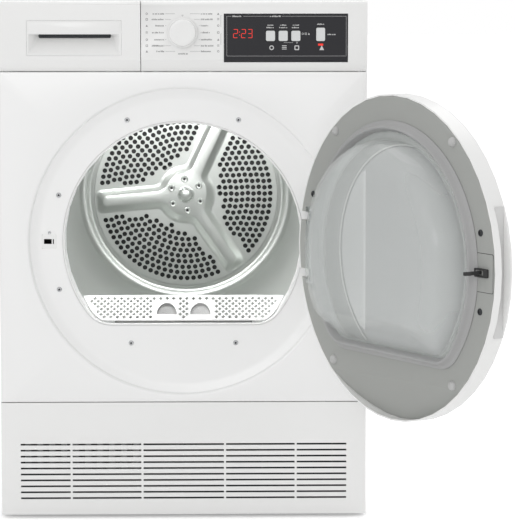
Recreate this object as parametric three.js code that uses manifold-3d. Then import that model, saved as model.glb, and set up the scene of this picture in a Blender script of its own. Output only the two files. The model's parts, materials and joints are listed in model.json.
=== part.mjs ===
// A 60 cm heat-pump clothes dryer: cabinet, drum, door, drive, heat pump, water tank and controls.
// Millimetres. +X is the user's right, +Y runs from the front to the back, +Z is up.
// The door stands open, as it does when the drum is being loaded.

import * as THREE from 'three';
import { mergeVertices } from 'three/addons/utils/BufferGeometryUtils.js';
import Module from 'manifold-3d';

const wasm = await Module();
wasm.setup();

// ---------------------------------------------------------------- driving dimensions

const width = 596;              // cabinet, across the side panels
const height = 845;             // floor to the top of the worktop
const depth = 600;              // front face to the back of the rear duct cover
const gap = 0.3;                // clearance kept between pieces that touch
const seam = 1.2;               // visible joint between front panels
const sheet = 1.2;              // steel sheet of the cabinet
const moulding = 2.5;           // wall of the plastic mouldings

const sideFoldFront = 7;        // turned-in front edge of a side sheet, clear of the tank
const sideFoldBack = 15;        // turned-in back edge of a side sheet
const skirtClear = 6;           // floor to the lower edge of the cabinet
const plinthTop = 192;          // height of the seam above the plinth
const fasciaHeight = 114;       // height of the control strip
const bevelHeight = 19;         // sloped band along the bottom of the control strip
const bevelDepth = 8;           // how far that band slopes back
const slotRows = 10;            // air slots of the plinth
const slotBottomZ = 33.3;
const slotPitch = 9.87;
const slotHeight = 3;
const slotBar = 3.5;            // bars between the slots of one row
const slotInset = 30;           // side of the cabinet to the middle of the outer bars
const frontReturn = 20;         // depth of the folded edges of the front pieces
const worktopThickness = 18;
const backInset = 11;           // back sheet to the rearmost point

const portholeZ = 455;          // height of the middle of the loading door
const portholeRadius = 193;
const portholeDrop = 135;       // middle of the door to the flat bottom of the opening
const portholeCorner = 45;
const neckWall = 6;
const neckReveal = 3;           // neck edge that shows inside the panel's hole
const recessClear = 2.5;        // edge of the door to the edge of its dished seat
const recessSlope = 18;
const recessDepth = 10;
const bulkheadFront = 52;       // front face to the front bulkhead
const bulkheadThickness = 3;

const drumAxisZ = 488;
const drumRadius = 284.4;
const drumSheet = 1.4;
const drumFront = 64.5;
const drumBack = 487;
const drumLip = 22.4;           // drum wall to the edge of its mouth
const airHoleReach = 115;       // drum axis to the air holes of its back
const shaftRadius = 12;
const bearingRadius = 30;
const rearBulkheadY = 526;
const lifterHeight = 42;
const lifterCount = 3;

const doorRadius = 251.5;
const doorThickness = 33;
const doorGap = 3;              // front face to the inner face of the closed door
const doorAngle = 122.5;        // how far the door stands open, in degrees
const windowInset = 12;         // rim of the glass bowl to the edge of the outer pane
const doorSkin = 2.5;
const hingeEdge = 27;           // edge of the door to the hinge axis
const hingeInset = 5.5;         // hinge axis below the outer face of the door
const hingeSpread = 46;         // hinge arms above and below the middle of the door
const hingeArmHeight = 10;
const hingePinRadius = 3;
const bowlClear = 9;            // glass bowl to the loading neck
const bowlDepth = 58;
const bowlFlangeWidth = 24;
const bowlWall = 4;

const lockEdge = 33.5;          // edge of the door to the middle of the hook
const lockSlotWidth = 16;
const lockSlotHeight = 8;

const knobX = 0;
const knobDrop = 51;            // drops are measured down from the top of the worktop
const knobRadius = 21.5;
const knobSkirt = 24.8;
const knobHeight = 20;
const windowLeft = 66.4;
const windowRight = 266.8;
const windowDrop = 20.6;
const windowHeight = 78.4;
const buttonWidth = 14.6;
const buttonHeight = 16.5;
const buttonFirstX = 141.7;
const buttonPitch = 20.4;
const buttonDrop = 56.4;
const startX = 222.5;
const startDrop = 54;
const startWidth = 14.2;
const startHeight = 21.4;
const buttonTravel = 1.5;
const keyClear = 0.4;

const drawerRight = -67.4;      // right-hand edge of the tank drawer
const tankDepth = 400;
const tankHeight = 44;
const tankWall = 2.5;
const tankInlet = 40;           // open strip behind the lid, where the pump fills the tank
const lidThickness = 3;
const gripInsetLeft = 47.2;     // edges of the drawer front to the finger recess
const gripInsetRight = 31.3;
const gripDrop = 32;
const gripHeight = 55.5;
const gripPlateHeight = 22.2;
const gripWall = 2;
const gripDepth = 32;

const footInset = 48;           // side of the cabinet to the middle of a foot
const footFrontY = 60;
const footBackInset = 55;
const footPadRadius = 20;
const footPadHeight = 11;
const footStemRadius = 8;
const footStemLength = 44;
const baseFloorZ = 13;
const baseWall = 4;
const baseHeight = 56;

const beltY = 397;
const beltWidth = 8;
const beltThickness = 2;
const motorX = 168;
const motorZ = 112;
const motorRadius = 46;
const pulleyRadius = 12;
const idlerX = 60;
const idlerZ = 146;
const idlerRadius = 16;
const idlerPivotX = 5;
const idlerPivotRadius = 3.5;
const idlerPivotZ = 106;
const rollerRadius = 25;
const rollerAngle = 35;         // degrees from straight down
const rollerWidth = 20;
const rollerPinRadius = 5;
const blowerRadius = 68;
const blowerDepth = 54;
const motorShaftRadius = 5.5;

const filterInset = 26;         // corner of the loading opening to the side of the filter
const filterFrontY = 23;
const filterBackY = 45;
const filterBottomZ = 222;
const filterCoverRise = 36;
const filterCoverBackY = 63;

const heatLeft = -275;          // the two heat exchangers and their shared outline
const heatRight = -75;
const heatBottom = 40;
const heatTop = 198;
const finCount = 10;
const evaporatorFront = 78;
const evaporatorBack = 146;
const condenserFront = 156;
const condenserBack = 340;
const compressorX = 190;
const compressorY = 130;
const compressorRadius = 60;
const compressorTop = 188;
const pumpX = -235;
const pumpY = 425;
const hoseRadius = 6;

const glandX = 205;
const glandZ = 110;
const glandRadius = 11;
const ductRadius = 90;          // air hole of the back sheet
const louvreRows = 6;
const louvrePitch = 14;
const louvreHeight = 6;

// ---------------------------------------------------------------- worked-out places

const halfWidth = width / 2;
const slotSpan = halfWidth - slotInset;
const slotEdges = [-1, -0.684, -0.252, 0.252, 0.684, 1].map((share) => share * slotSpan);
const fasciaBottom = height - fasciaHeight;
const backY = depth - backInset;
const knobZ = height - knobDrop;
const windowTop = height - windowDrop;
const windowBottom = windowTop - windowHeight;
const buttonZ = height - buttonDrop;
const startZ = height - startDrop;
const gripLeft = -halfWidth + gripInsetLeft;
const gripRight = drawerRight - gripInsetRight;
const gripTop = height - gripDrop;
const gripBottom = gripTop - gripHeight;
const gripPlateBottom = gripTop - gripPlateHeight;
const footX = halfWidth - footInset;
const footBackY = depth - footBackInset;
const drumSides = 40;           // facets of the drum's solids
const drumFacet = Math.cos(Math.PI / drumSides);
const doorSides = 44;           // facets of the door's solids
const portholeFlatZ = portholeZ - portholeDrop;
const filterHalfWidth = Math.sqrt(portholeRadius ** 2 - portholeDrop ** 2) - filterInset;
const recessRadius = doorRadius - recessClear;
const recessFloorRadius = recessRadius - recessSlope;
const bowlRadius = portholeRadius - bowlClear;
const bowlFlangeRadius = bowlRadius + bowlFlangeWidth;
const doorWindowRadius = bowlRadius - windowInset;
const drumMouthRadius = drumRadius - drumLip;
const doorOuterY = -doorGap - doorThickness;
const hingeX = doorRadius - hingeEdge;
const hingeY = doorOuterY + hingeInset;
const lockX = -doorRadius + lockEdge;
const rearSheetFront = backY - sheet;
const innerX = halfWidth - sheet;
const rollerReach = drumRadius + gap + rollerRadius;
const rollerX = rollerReach * Math.sin(rollerAngle * Math.PI / 180);
const rollerZ = drumAxisZ - rollerReach * Math.cos(rollerAngle * Math.PI / 180);
const blowerFront = rearBulkheadY - 12;
const motorFront = beltY + 18;
const motorBack = blowerFront - 10;
const tankLeft = -halfWidth + 9;
const tankRight = drawerRight - 8;
const tankTop = height - worktopThickness - 4;
const tankBottom = tankTop - tankHeight;
const tankFront = gripDepth + 8;
const tankBack = tankFront + tankDepth;

// ---------------------------------------------------------------- helpers for solids

function signedVolume(geometry) {
  const position = geometry.getAttribute('position');
  const index = geometry.getIndex();
  const [a, b, c] = [new THREE.Vector3(), new THREE.Vector3(), new THREE.Vector3()];
  let total = 0;
  for (let i = 0; i < index.count; i += 3) {
    a.fromBufferAttribute(position, index.getX(i));
    b.fromBufferAttribute(position, index.getX(i + 1));
    c.fromBufferAttribute(position, index.getX(i + 2));
    total += a.dot(b.cross(c));
  }
  return total / 6;
}

// Keeps only positions, merges shared vertices, drops collapsed triangles and faces everything out.
function closed(geometry) {
  const bare = new THREE.BufferGeometry();
  bare.setAttribute('position', geometry.getAttribute('position').clone());
  if (geometry.getIndex()) bare.setIndex(geometry.getIndex().clone());
  const merged = mergeVertices(bare, 1e-4);
  const index = Array.from(merged.getIndex().array);
  const kept = [];
  for (let i = 0; i < index.length; i += 3) {
    const [p, q, r] = index.slice(i, i + 3);
    if (p !== q && q !== r && r !== p) kept.push(p, q, r);
  }
  merged.setIndex(kept);
  if (signedVolume(merged) < 0) merged.setIndex(kept.reverse());
  return merged;
}

function toManifold(geometry) {
  const mesh = closed(geometry);
  const vertProperties = new Float32Array(mesh.getAttribute('position').array);
  const triVerts = new Uint32Array(mesh.getIndex().array);
  return new wasm.Manifold(new wasm.Mesh({ numProp: 3, vertProperties, triVerts }));
}

function fromManifold(manifold) {
  const mesh = manifold.getMesh();
  const geometry = new THREE.BufferGeometry();
  geometry.setAttribute('position', new THREE.BufferAttribute(mesh.vertProperties, 3));
  geometry.setIndex(new THREE.BufferAttribute(mesh.triVerts, 1));
  return geometry;
}

function combine(operation, first, others) {
  let result = toManifold(first);
  for (const other of others) result = result[operation](toManifold(other));
  return fromManifold(result);
}

const join = (first, ...others) => combine('add', first, others);
const cut = (first, ...others) => combine('subtract', first, others);
const common = (first, ...others) => combine('intersect', first, others);

function box(x0, x1, y0, y1, z0, z1) {
  const geometry = new THREE.BoxGeometry(x1 - x0, y1 - y0, z1 - z0);
  return geometry.translate((x0 + x1) / 2, (y0 + y1) / 2, (z0 + z1) / 2);
}

function rodY(x, z, radius, y0, y1, sides = 16) {
  const geometry = new THREE.CylinderGeometry(radius, radius, y1 - y0, sides);
  return geometry.translate(x, (y0 + y1) / 2, z);
}

function rodZ(x, y, radius, z0, z1, sides = 16) {
  const geometry = new THREE.CylinderGeometry(radius, radius, z1 - z0, sides).rotateX(Math.PI / 2);
  return geometry.translate(x, y, (z0 + z1) / 2);
}

// A closed outline of [radius, y] points turned about the Y direction through (x, z).
function turnedY(points, x, z, sides = 36) {
  const profile = [...points, points[0]].map(([radius, y]) => new THREE.Vector2(radius, y));
  return new THREE.LatheGeometry(profile, sides).translate(x, 0, z);
}

// A shape drawn in (x, z) given thickness from y0 to y1.
function plateY(shape, y0, y1, curveSegments = 12) {
  const options = { depth: y1 - y0, bevelEnabled: false, curveSegments };
  const geometry = new THREE.ExtrudeGeometry(shape, options).rotateX(Math.PI / 2);
  return geometry.translate(0, y1, 0);
}

// A shape drawn in (x, y) given height from z0 to z1.
function plateZ(shape, z0, z1, curveSegments = 4) {
  const options = { depth: z1 - z0, bevelEnabled: false, curveSegments };
  return new THREE.ExtrudeGeometry(shape, options).translate(0, 0, z0);
}

// A shape drawn in (y, z) given width from x0 to x1.
function plateX(shape, x0, x1) {
  const axes = new THREE.Matrix4().makeBasis(
    new THREE.Vector3(0, 1, 0), new THREE.Vector3(0, 0, 1), new THREE.Vector3(1, 0, 0));
  const geometry = new THREE.ExtrudeGeometry(shape, { depth: x1 - x0, bevelEnabled: false });
  return geometry.applyMatrix4(axes).translate(x0, 0, 0);
}

const outline = (points) => new THREE.Shape(points.map(([u, v]) => new THREE.Vector2(u, v)));

function rectangle(u0, u1, v0, v1) {
  return outline([[u0, v0], [u1, v0], [u1, v1], [u0, v1]]);
}

function roundedRectangle(u0, u1, v0, v1, radius) {
  const shape = new THREE.Shape();
  shape.absarc(u1 - radius, v1 - radius, radius, 0, Math.PI / 2);
  shape.absarc(u0 + radius, v1 - radius, radius, Math.PI / 2, Math.PI);
  shape.absarc(u0 + radius, v0 + radius, radius, Math.PI, 1.5 * Math.PI);
  shape.absarc(u1 - radius, v0 + radius, radius, 1.5 * Math.PI, 2 * Math.PI);
  return shape;
}

// The loading opening: a circle with a flat bottom and rounded lower corners, grown by `grow`.
function portholeShape(grow) {
  const radius = portholeRadius + grow;
  const corner = portholeCorner + grow;
  const cornerZ = portholeFlatZ - grow + corner;
  const cornerX = Math.sqrt((radius - corner) ** 2 - (cornerZ - portholeZ) ** 2);
  const meet = Math.atan2(cornerZ - portholeZ, cornerX);
  const shape = new THREE.Shape();
  shape.absarc(0, portholeZ, radius, meet, Math.PI - meet);
  shape.absarc(-cornerX, cornerZ, corner, Math.PI - meet, 1.5 * Math.PI);
  shape.absarc(cornerX, cornerZ, corner, 1.5 * Math.PI, 2 * Math.PI + meet);
  return shape;
}

// ---------------------------------------------------------------- materials and assembly

function material(color, roughness, metalness = 0, opacity = 1) {
  return new THREE.MeshStandardMaterial({ color, roughness, metalness, opacity, transparent: opacity < 1 });
}

const materials = {
  enamel: material(0xf3f3f3, 0.3),
  whitePlastic: material(0xeeeeec, 0.4),
  greyPlastic: material(0xa6a7a4, 0.5),
  darkPlastic: material(0x2a2b2c, 0.5),
  blackWindow: material(0x141416, 0.12),
  paleKey: material(0xcfd2d3, 0.35),
  glass: material(0xd9dedd, 0.05, 0, 0.3),
  rubber: material(0x3b3c3d, 0.8),
  felt: material(0xb8b4aa, 0.95),
  steel: material(0xb9bdb8, 0.32, 1),
  galvanised: material(0xa9adb0, 0.45, 1),
  aluminium: material(0xc4c7c9, 0.4, 1),
  castIron: material(0x2f3236, 0.55, 0.6),
  circuit: material(0x1d5a36, 0.6),
};

const machine = new THREE.Group();

function place(parent, name, geometry, surface) {
  const mesh = new THREE.Mesh(closed(geometry), surface);
  mesh.name = name;
  parent.add(mesh);
}

const add = (name, geometry, surface) => place(machine, name, geometry, surface);

// ---------------------------------------------------------------- cabinet

function sidePanel(side) {
  const edge = side * halfWidth;
  const inside = side * innerX;
  const frontFold = side * (halfWidth - sideFoldFront);
  const backFold = side * (halfWidth - sideFoldBack);
  const front = frontReturn + seam;
  const back = rearSheetFront - gap;
  const shape = outline([[edge, front], [edge, backY], [inside, backY], [inside, back], [backFold, back],
    [backFold, back - sheet], [inside, back - sheet], [inside, front + sheet], [frontFold, front + sheet],
    [frontFold, front]]);
  return plateZ(shape, skirtClear + 2, height - worktopThickness - seam);
}

function backPanel() {
  const shape = rectangle(-innerX + gap, innerX - gap, 30, height - worktopThickness - 2);
  const duct = new THREE.Path();
  duct.absarc(0, drumAxisZ, ductRadius, 0, 2 * Math.PI);
  shape.holes.push(duct);
  for (let row = 0; row < louvreRows; row += 1) {
    const z = 90 + row * louvrePitch;
    shape.holes.push(rectangle(-230, -110, z, z + louvreHeight));
  }
  return cut(plateY(shape, rearSheetFront, backY, 3), rodY(glandX, glandZ, glandRadius + gap, 0, depth, 16));
}

function mainsGland() {
  const y = backY;
  return turnedY([[4.5, y - 14], [glandRadius, y - 14], [glandRadius, y + gap], [15, y + gap], [15, y + 4],
    [7, y + 9], [4.5, y + 9]], glandX, glandZ, 16);
}

function rearDuctCover() {
  const y = backY + gap;
  return turnedY([[0, y + 8.5], [100, y + 8.5], [112, y], [132, y], [132, y + 1.5], [114, y + 1.5],
    [102, depth - 0.3], [0, depth - 0.3]], 0, drumAxisZ, 20);
}

function worktop() {
  const slab = roundedRectangle(-halfWidth, halfWidth, frontReturn + 6, depth, 4);
  return plateZ(slab, height - worktopThickness, height);
}

function baseTray() {
  const x = innerX - seam;
  const y0 = frontReturn + 4;
  const y1 = rearSheetFront - 4;
  const hollow = cut(box(-x, x, y0, y1, baseFloorZ, baseFloorZ + baseHeight),
    box(-x + baseWall, x - baseWall, y0 + baseWall, y1 - baseWall, baseFloorZ + baseWall, height));
  const bosses = [];
  const bores = [];
  for (const side of [-1, 1]) {
    for (const y of [footFrontY, footBackY]) {
      bosses.push(rodZ(side * footX, y, footStemRadius + 6, baseFloorZ, baseFloorZ + footStemLength, 20));
      bores.push(rodZ(side * footX, y, footStemRadius + 0.5, 0, height, 20));
    }
  }
  const posts = [
    box(idlerPivotX - 8, idlerPivotX + 10, beltY - 35, beltY - 21, baseFloorZ, idlerPivotZ + 8),
    rodY(idlerPivotX, idlerPivotZ, idlerPivotRadius, beltY - 22, beltY - 10, 16),
    box(motorX - 30, motorX + 30, motorFront + 12, motorBack - 12, baseFloorZ, motorZ - motorRadius - gap),
    box(heatLeft + 10, heatRight - 10, evaporatorFront, condenserBack, baseFloorZ, heatBottom - gap),
  ];
  return cut(join(hollow, ...bosses, ...posts), ...bores);
}

function foot(x, y) {
  return join(rodZ(x, y, footPadRadius, 0, footPadHeight),
    rodZ(x, y, footStemRadius, 1, footPadHeight + footStemLength, 20));
}

function plinthGrille() {
  const bottom = skirtClear;
  const top = plinthTop - seam / 2;
  const skin = box(-halfWidth, halfWidth, 0, moulding, bottom, top);
  const rim = cut(box(-halfWidth, halfWidth, 0.5, frontReturn, bottom, top),
    box(-halfWidth + moulding, halfWidth - moulding, 0, height, bottom + moulding, top - moulding));
  const slots = [];
  for (let row = 0; row < slotRows; row += 1) {
    const z = slotBottomZ + row * slotPitch;
    for (let i = 0; i + 1 < slotEdges.length; i += 1) {
      slots.push(box(slotEdges[i] + slotBar / 2, slotEdges[i + 1] - slotBar / 2, -1, frontReturn,
        z - slotHeight / 2, z + slotHeight / 2));
    }
  }
  return cut(join(skin, rim), ...slots);
}

function frontPanel() {
  const bottom = plinthTop + seam / 2;
  const top = fasciaBottom - seam / 2;
  const skin = plateY(rectangle(-halfWidth, halfWidth, bottom, top), 0, sheet);
  const folds = cut(box(-halfWidth, halfWidth, 0.2, frontReturn, bottom, top),
    box(-innerX, innerX, 0, height, bottom + sheet, top - sheet));
  const panel = cut(join(skin, folds), rodY(0, portholeZ, recessRadius - 0.5, -1, sheet + 1, doorSides));
  const dish = turnedY([[recessRadius, 0], [recessRadius + 0.8, sheet * 0.8], [recessRadius + 0.4, sheet],
    [recessFloorRadius + sheet, recessDepth + sheet], [100, recessDepth + sheet], [100, recessDepth],
    [recessFloorRadius, recessDepth]], 0, portholeZ, doorSides);
  const hole = plateY(portholeShape(neckReveal + gap), 0, 20);
  const lockHole = box(lockX - 12, lockX + 12, 0, 20, portholeZ - 12, portholeZ + 12);
  return cut(join(panel, dish), hole, lockHole);
}

function frontBulkhead() {
  const front = recessDepth + sheet + gap;
  const back = bulkheadFront + bulkheadThickness;
  const top = drumAxisZ + drumRadius - 4;
  const side = halfWidth - sideFoldBack - 1;
  const plate = plateY(rectangle(-side, side, plinthTop + 5, top), bulkheadFront, back);
  const neck = plateY(portholeShape(neckWall), front, back);
  const pocket = box(-filterHalfWidth - 4, filterHalfWidth + 4, filterFrontY - 4, filterBackY + 4,
    filterBottomZ - 6, portholeFlatZ + 1);
  const pins = [-rollerX, rollerX].map((x) =>
    rodY(x, rollerZ, rollerPinRadius, bulkheadFront + 1, drumFront + rollerWidth + 15, 16));
  const solid = join(plate, neck, pocket, ...pins);
  const bore = plateY(portholeShape(0), 0, 100);
  const well = box(-filterHalfWidth - 1, filterHalfWidth + 1, filterFrontY - 1, filterBackY + 1,
    filterBottomZ - 2, portholeZ);
  return cut(solid, bore, well);
}

function drumFrontSeal() {
  const back = bulkheadFront + bulkheadThickness + gap;
  return turnedY([[drumMouthRadius + 2, back], [drumRadius - 5, back], [drumRadius - 5, back + 5],
    [drumMouthRadius + 2, drumFront - gap - 1]], 0, drumAxisZ, drumSides);
}

function lintFilter() {
  const low = portholeFlatZ + 4;
  const front = filterFrontY - 6;
  const cover = plateX(outline([[front, low], [filterCoverBackY, low + filterCoverRise],
    [filterCoverBackY, low + filterCoverRise + 3], [front, low + 3]]), -portholeRadius, portholeRadius);
  const clipped = common(cover, plateY(portholeShape(-2), 0, 100));
  const body = box(-filterHalfWidth, filterHalfWidth, filterFrontY, filterBackY, filterBottomZ, low + 14);
  const rise = filterCoverRise / (filterCoverBackY - front);
  const far = filterCoverBackY + 40;
  const middle = low + 1.5;
  const slope = plateX(outline([[0, middle - rise * front], [far, middle + rise * (far - front)], [far, portholeZ],
    [0, portholeZ]]), -portholeRadius, portholeRadius);
  const cavity = box(-filterHalfWidth + 3, filterHalfWidth - 3, filterFrontY + 3, filterBackY - 3,
    filterBottomZ + 3, height);
  return cut(join(clipped, cut(body, slope)), cavity);
}

// ---------------------------------------------------------------- controls

const bevelAt = (z) => bevelDepth * (fasciaBottom + bevelHeight - z) / bevelHeight;

function fasciaProfile() {
  const bottom = fasciaBottom + seam / 2;
  const shape = new THREE.Shape();
  const round = 7;
  shape.moveTo(bevelAt(bottom), bottom);
  shape.lineTo(0, fasciaBottom + bevelHeight);
  shape.lineTo(0, height - round);
  shape.absarc(round, height - round, round, Math.PI, Math.PI / 2, true);
  shape.lineTo(frontReturn + 4, height);
  shape.lineTo(frontReturn + 4, height - moulding);
  shape.lineTo(round, height - moulding);
  shape.absarc(round, height - round, round - moulding, Math.PI / 2, Math.PI, false);
  shape.lineTo(moulding, fasciaBottom + bevelHeight);
  shape.lineTo(bevelAt(bottom) + moulding, bottom);
  return shape;
}

// A wall that closes an end of the control strip.
function fasciaEnd(x0) {
  const shape = outline([[bevelAt(fasciaBottom) + 1, fasciaBottom + 1], [1, fasciaBottom + bevelHeight],
    [1, height - 8], [8, height - 1], [frontReturn, height - 1], [frontReturn, fasciaBottom + 1]]);
  return plateX(shape, x0, x0 + moulding);
}

function fasciaBlock(x0, x1) {
  return join(plateX(fasciaProfile(), x0, x1), fasciaEnd(x1 - moulding));
}

function controlFascia() {
  const strip = fasciaBlock(drawerRight + seam / 2, halfWidth);
  const window = box(windowLeft, windowRight, -1, frontReturn, windowBottom, windowTop);
  return cut(strip, window, rodY(knobX, knobZ, 6, -5, frontReturn));
}

function keyHoles() {
  const hole = (x, z, w, h) => box(x - w / 2 - keyClear, x + w / 2 + keyClear, -5, frontReturn,
    z - h / 2 - keyClear, z + h / 2 + keyClear);
  const columns = [0, 1, 2].map((i) => buttonFirstX + i * buttonPitch);
  const options = columns.map((x) => hole(x, buttonZ, buttonWidth, buttonHeight));
  return [...options, hole(startX, startZ, startWidth, startHeight)];
}

function displayWindow() {
  const low = windowBottom + gap;
  const high = windowTop - gap;
  const shape = outline([[bevelAt(low) - 0.4, low], [-0.4, fasciaBottom + bevelHeight], [-0.4, high],
    [moulding, high], [moulding, fasciaBottom + bevelHeight], [bevelAt(low) + moulding, low]]);
  return cut(plateX(shape, windowLeft + gap, windowRight - gap), ...keyHoles());
}

function key(x, z, w, h) {
  return plateY(roundedRectangle(x - w / 2, x + w / 2, z - h / 2, z + h / 2, 2.4), -2, 8, 4);
}

function controlBoard() {
  return box(windowLeft + 4, windowRight - 4, 8 + buttonTravel + 1, 8 + buttonTravel + 3,
    windowBottom + 8, windowTop - 4);
}

function programKnob() {
  const front = -knobHeight;
  return turnedY([[0, front], [knobRadius - 2, front], [knobRadius, front + 2], [knobRadius + 0.6, -5],
    [knobSkirt, -3.4], [knobSkirt, -0.8], [5, -0.8], [5, 8], [0, 8]], knobX, knobZ, 28);
}

// ---------------------------------------------------------------- condensate tank drawer

function drawerFront() {
  const front = fasciaBlock(-halfWidth, drawerRight - seam / 2);
  return cut(join(front, fasciaEnd(-halfWidth)), box(gripLeft - gap, gripRight + gap, -1, frontReturn,
    gripBottom - gap, gripTop + gap));
}

function tankGrip() {
  const left = gripLeft + gripWall;
  const right = gripRight - gripWall;
  const back = gripDepth - gripWall;
  const cup = box(gripLeft, gripRight, 0, gripDepth, gripBottom, gripTop);
  const fingers = box(left, right, -1, back, gripBottom + gripWall, gripPlateBottom);
  const behind = box(left, right, gripWall + 1, back, gripPlateBottom - 5, gripTop - gripWall);
  return cut(cup, fingers, behind);
}

function waterTank() {
  const shell = box(tankLeft, tankRight, tankFront, tankBack, tankBottom, tankTop - lidThickness);
  const inside = box(tankLeft + tankWall, tankRight - tankWall, tankFront + tankWall, tankBack - tankWall,
    tankBottom + tankWall, height);
  const bridge = box(tankLeft + 30, tankRight - 30, gripDepth + gap, tankFront + 1,
    tankBottom, tankBottom + 20);
  return cut(join(shell, bridge), inside);
}

function tankLid() {
  return box(tankLeft, tankRight, tankFront, tankBack - tankInlet, tankTop - lidThickness + gap, tankTop);
}

function tankRunner() {
  const front = tankFront + 4;
  const low = tankBottom - 1;
  const floor = box(tankLeft - 3, tankRight + 3, front, tankBack, low - 2, low);
  const left = box(tankLeft - 3, tankLeft - 1, front, tankBack, low - 1, low + 20);
  const right = box(tankRight + 1, tankRight + 3, front, tankBack, low - 1, low + 20);
  return join(floor, left, right);
}

// ---------------------------------------------------------------- drum

function drumShell() {
  const inner = drumRadius - drumSheet;
  return turnedY([[drumMouthRadius, drumFront], [drumRadius, drumFront + 6], [drumRadius, drumBack],
    [inner, drumBack], [inner, drumFront + 6 + drumSheet], [drumMouthRadius, drumFront + drumSheet]],
  0, drumAxisZ, drumSides);
}

function drumBackWall() {
  const rim = drumRadius - drumSheet - gap;
  const wall = 1.5;
  const dish = rim - 110;
  const plate = turnedY([[rim, drumBack - 13], [rim - wall, drumBack - 13], [rim - wall, drumBack - 6.5],
    [dish + 14, drumBack + 1], [dish, drumBack + 4], [shaftRadius + gap, drumBack + 4],
    [shaftRadius + gap, drumBack + 5.5], [dish + 0.6, drumBack + 5.5], [dish + 14.6, drumBack + 2.5],
    [rim, drumBack - 5]], 0, drumAxisZ, drumSides);
  const holes = [];
  for (let arm = 0; arm < 3; arm += 1) {
    for (let i = 0; i < 5; i += 1) {
      const angle = (arm * 120 + 76 + i * 23) * Math.PI / 180;
      const [x, z] = [airHoleReach * Math.cos(angle), airHoleReach * Math.sin(angle)];
      holes.push(rodY(x, drumAxisZ + z, 9, drumBack, drumBack + 12, 6));
    }
  }
  return cut(plate, ...holes);
}

function drumLifter(index) {
  const outer = drumRadius - drumSheet - gap;
  const base = 34;
  const seat = Math.sqrt((outer * drumFacet) ** 2 - base ** 2) - gap;
  const shape = outline([[-base, -seat], [base, -seat], [base * 0.35, -seat + lifterHeight],
    [-base * 0.35, -seat + lifterHeight]]);
  const lifter = plateY(shape, drumFront + 14, drumBack - 20, 4);
  return lifter.rotateY(index * 2 * Math.PI / lifterCount).translate(0, 0, drumAxisZ);
}

function drumShaft() {
  const flange = drumBack + 5.5 + gap;
  return turnedY([[0, flange - 12], [shaftRadius, flange - 12], [shaftRadius, flange], [46, flange],
    [46, flange + 4], [shaftRadius + 4, flange + 12], [shaftRadius, flange + 14], [shaftRadius, 556],
    [0, 556]], 0, drumAxisZ, 20);
}

function rearBulkhead() {
  const plate = plateY(rectangle(-innerX + 6, innerX - 6, 200, height - worktopThickness - 30), rearBulkheadY,
    rearBulkheadY + 3);
  const housing = rodY(0, drumAxisZ, bearingRadius + 8, rearBulkheadY - 6, rearBulkheadY + 14, 20);
  return cut(join(plate, housing), rodY(0, drumAxisZ, bearingRadius + gap, 400, depth, 20));
}

function rearBearing() {
  return turnedY([[shaftRadius + gap, rearBulkheadY - 4], [bearingRadius, rearBulkheadY - 4],
    [bearingRadius, rearBulkheadY + 12], [shaftRadius + gap, rearBulkheadY + 12]], 0, drumAxisZ, 20);
}

function drumRoller(side) {
  const y0 = drumFront + 10;
  return turnedY([[rollerPinRadius + gap, y0], [rollerRadius, y0], [rollerRadius, y0 + rollerWidth],
    [rollerPinRadius + gap, y0 + rollerWidth]], side * rollerX, rollerZ, 18);
}

// ---------------------------------------------------------------- drive

// Path of a belt around signed circles: a positive radius is wrapped anticlockwise, a negative one clockwise.
function beltOutline(circles, Kind) {
  const links = circles.map((circle, i) => {
    const next = circles[(i + 1) % circles.length];
    const [dx, dz] = [next.x - circle.x, next.z - circle.z];
    return Math.atan2(dz, dx) + Math.asin((circle.r - next.r) / Math.hypot(dx, dz));
  });
  const points = [];
  circles.forEach((circle, i) => {
    const from = links[(i + circles.length - 1) % circles.length];
    let turn = (links[i] - from) % (2 * Math.PI);
    if (circle.r > 0 && turn < 0) turn += 2 * Math.PI;
    if (circle.r < 0 && turn > 0) turn -= 2 * Math.PI;
    const steps = Math.max(3, Math.ceil(Math.abs(turn) * 6));
    const reach = circle.r / Math.cos(turn / steps / 2);
    for (let k = 0; k <= steps; k += 1) {
      const angle = from + turn * k / steps;
      points.push(new THREE.Vector2(circle.x + reach * Math.sin(angle), circle.z - reach * Math.cos(angle)));
    }
  });
  return new Kind(points);
}

function driveBelt() {
  const clear = gap + 0.5;
  const path = (grow) => [
    { x: 0, z: drumAxisZ, r: drumRadius + clear + grow },
    { x: idlerX, z: idlerZ, r: -(idlerRadius + clear + beltThickness) + grow },
    { x: motorX, z: motorZ, r: pulleyRadius + clear + grow },
  ];
  const shape = beltOutline(path(beltThickness), THREE.Shape);
  shape.holes.push(beltOutline(path(0), THREE.Path));
  return plateY(shape, beltY - beltWidth / 2, beltY + beltWidth / 2);
}

function motor() {
  const body = rodY(motorX, motorZ, motorRadius, motorFront, motorBack, 24);
  const nose = rodY(motorX, motorZ, 20, motorFront - 4, motorBack + 4, 16);
  return cut(join(body, nose), rodY(motorX, motorZ, motorShaftRadius + gap, 0, depth, 12));
}

function motorShaft() {
  const shaft = rodY(motorX, motorZ, motorShaftRadius, beltY - 9, blowerFront + blowerDepth - 6, 20);
  const pulley = turnedY([[1, beltY - 7], [pulleyRadius + 3, beltY - 7], [pulleyRadius + 3, beltY - 5.5],
    [pulleyRadius, beltY - 5], [pulleyRadius, beltY + 5], [pulleyRadius + 3, beltY + 5.5],
    [pulleyRadius + 3, beltY + 7], [1, beltY + 7]], motorX, motorZ, 16);
  return join(shaft, pulley);
}

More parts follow.
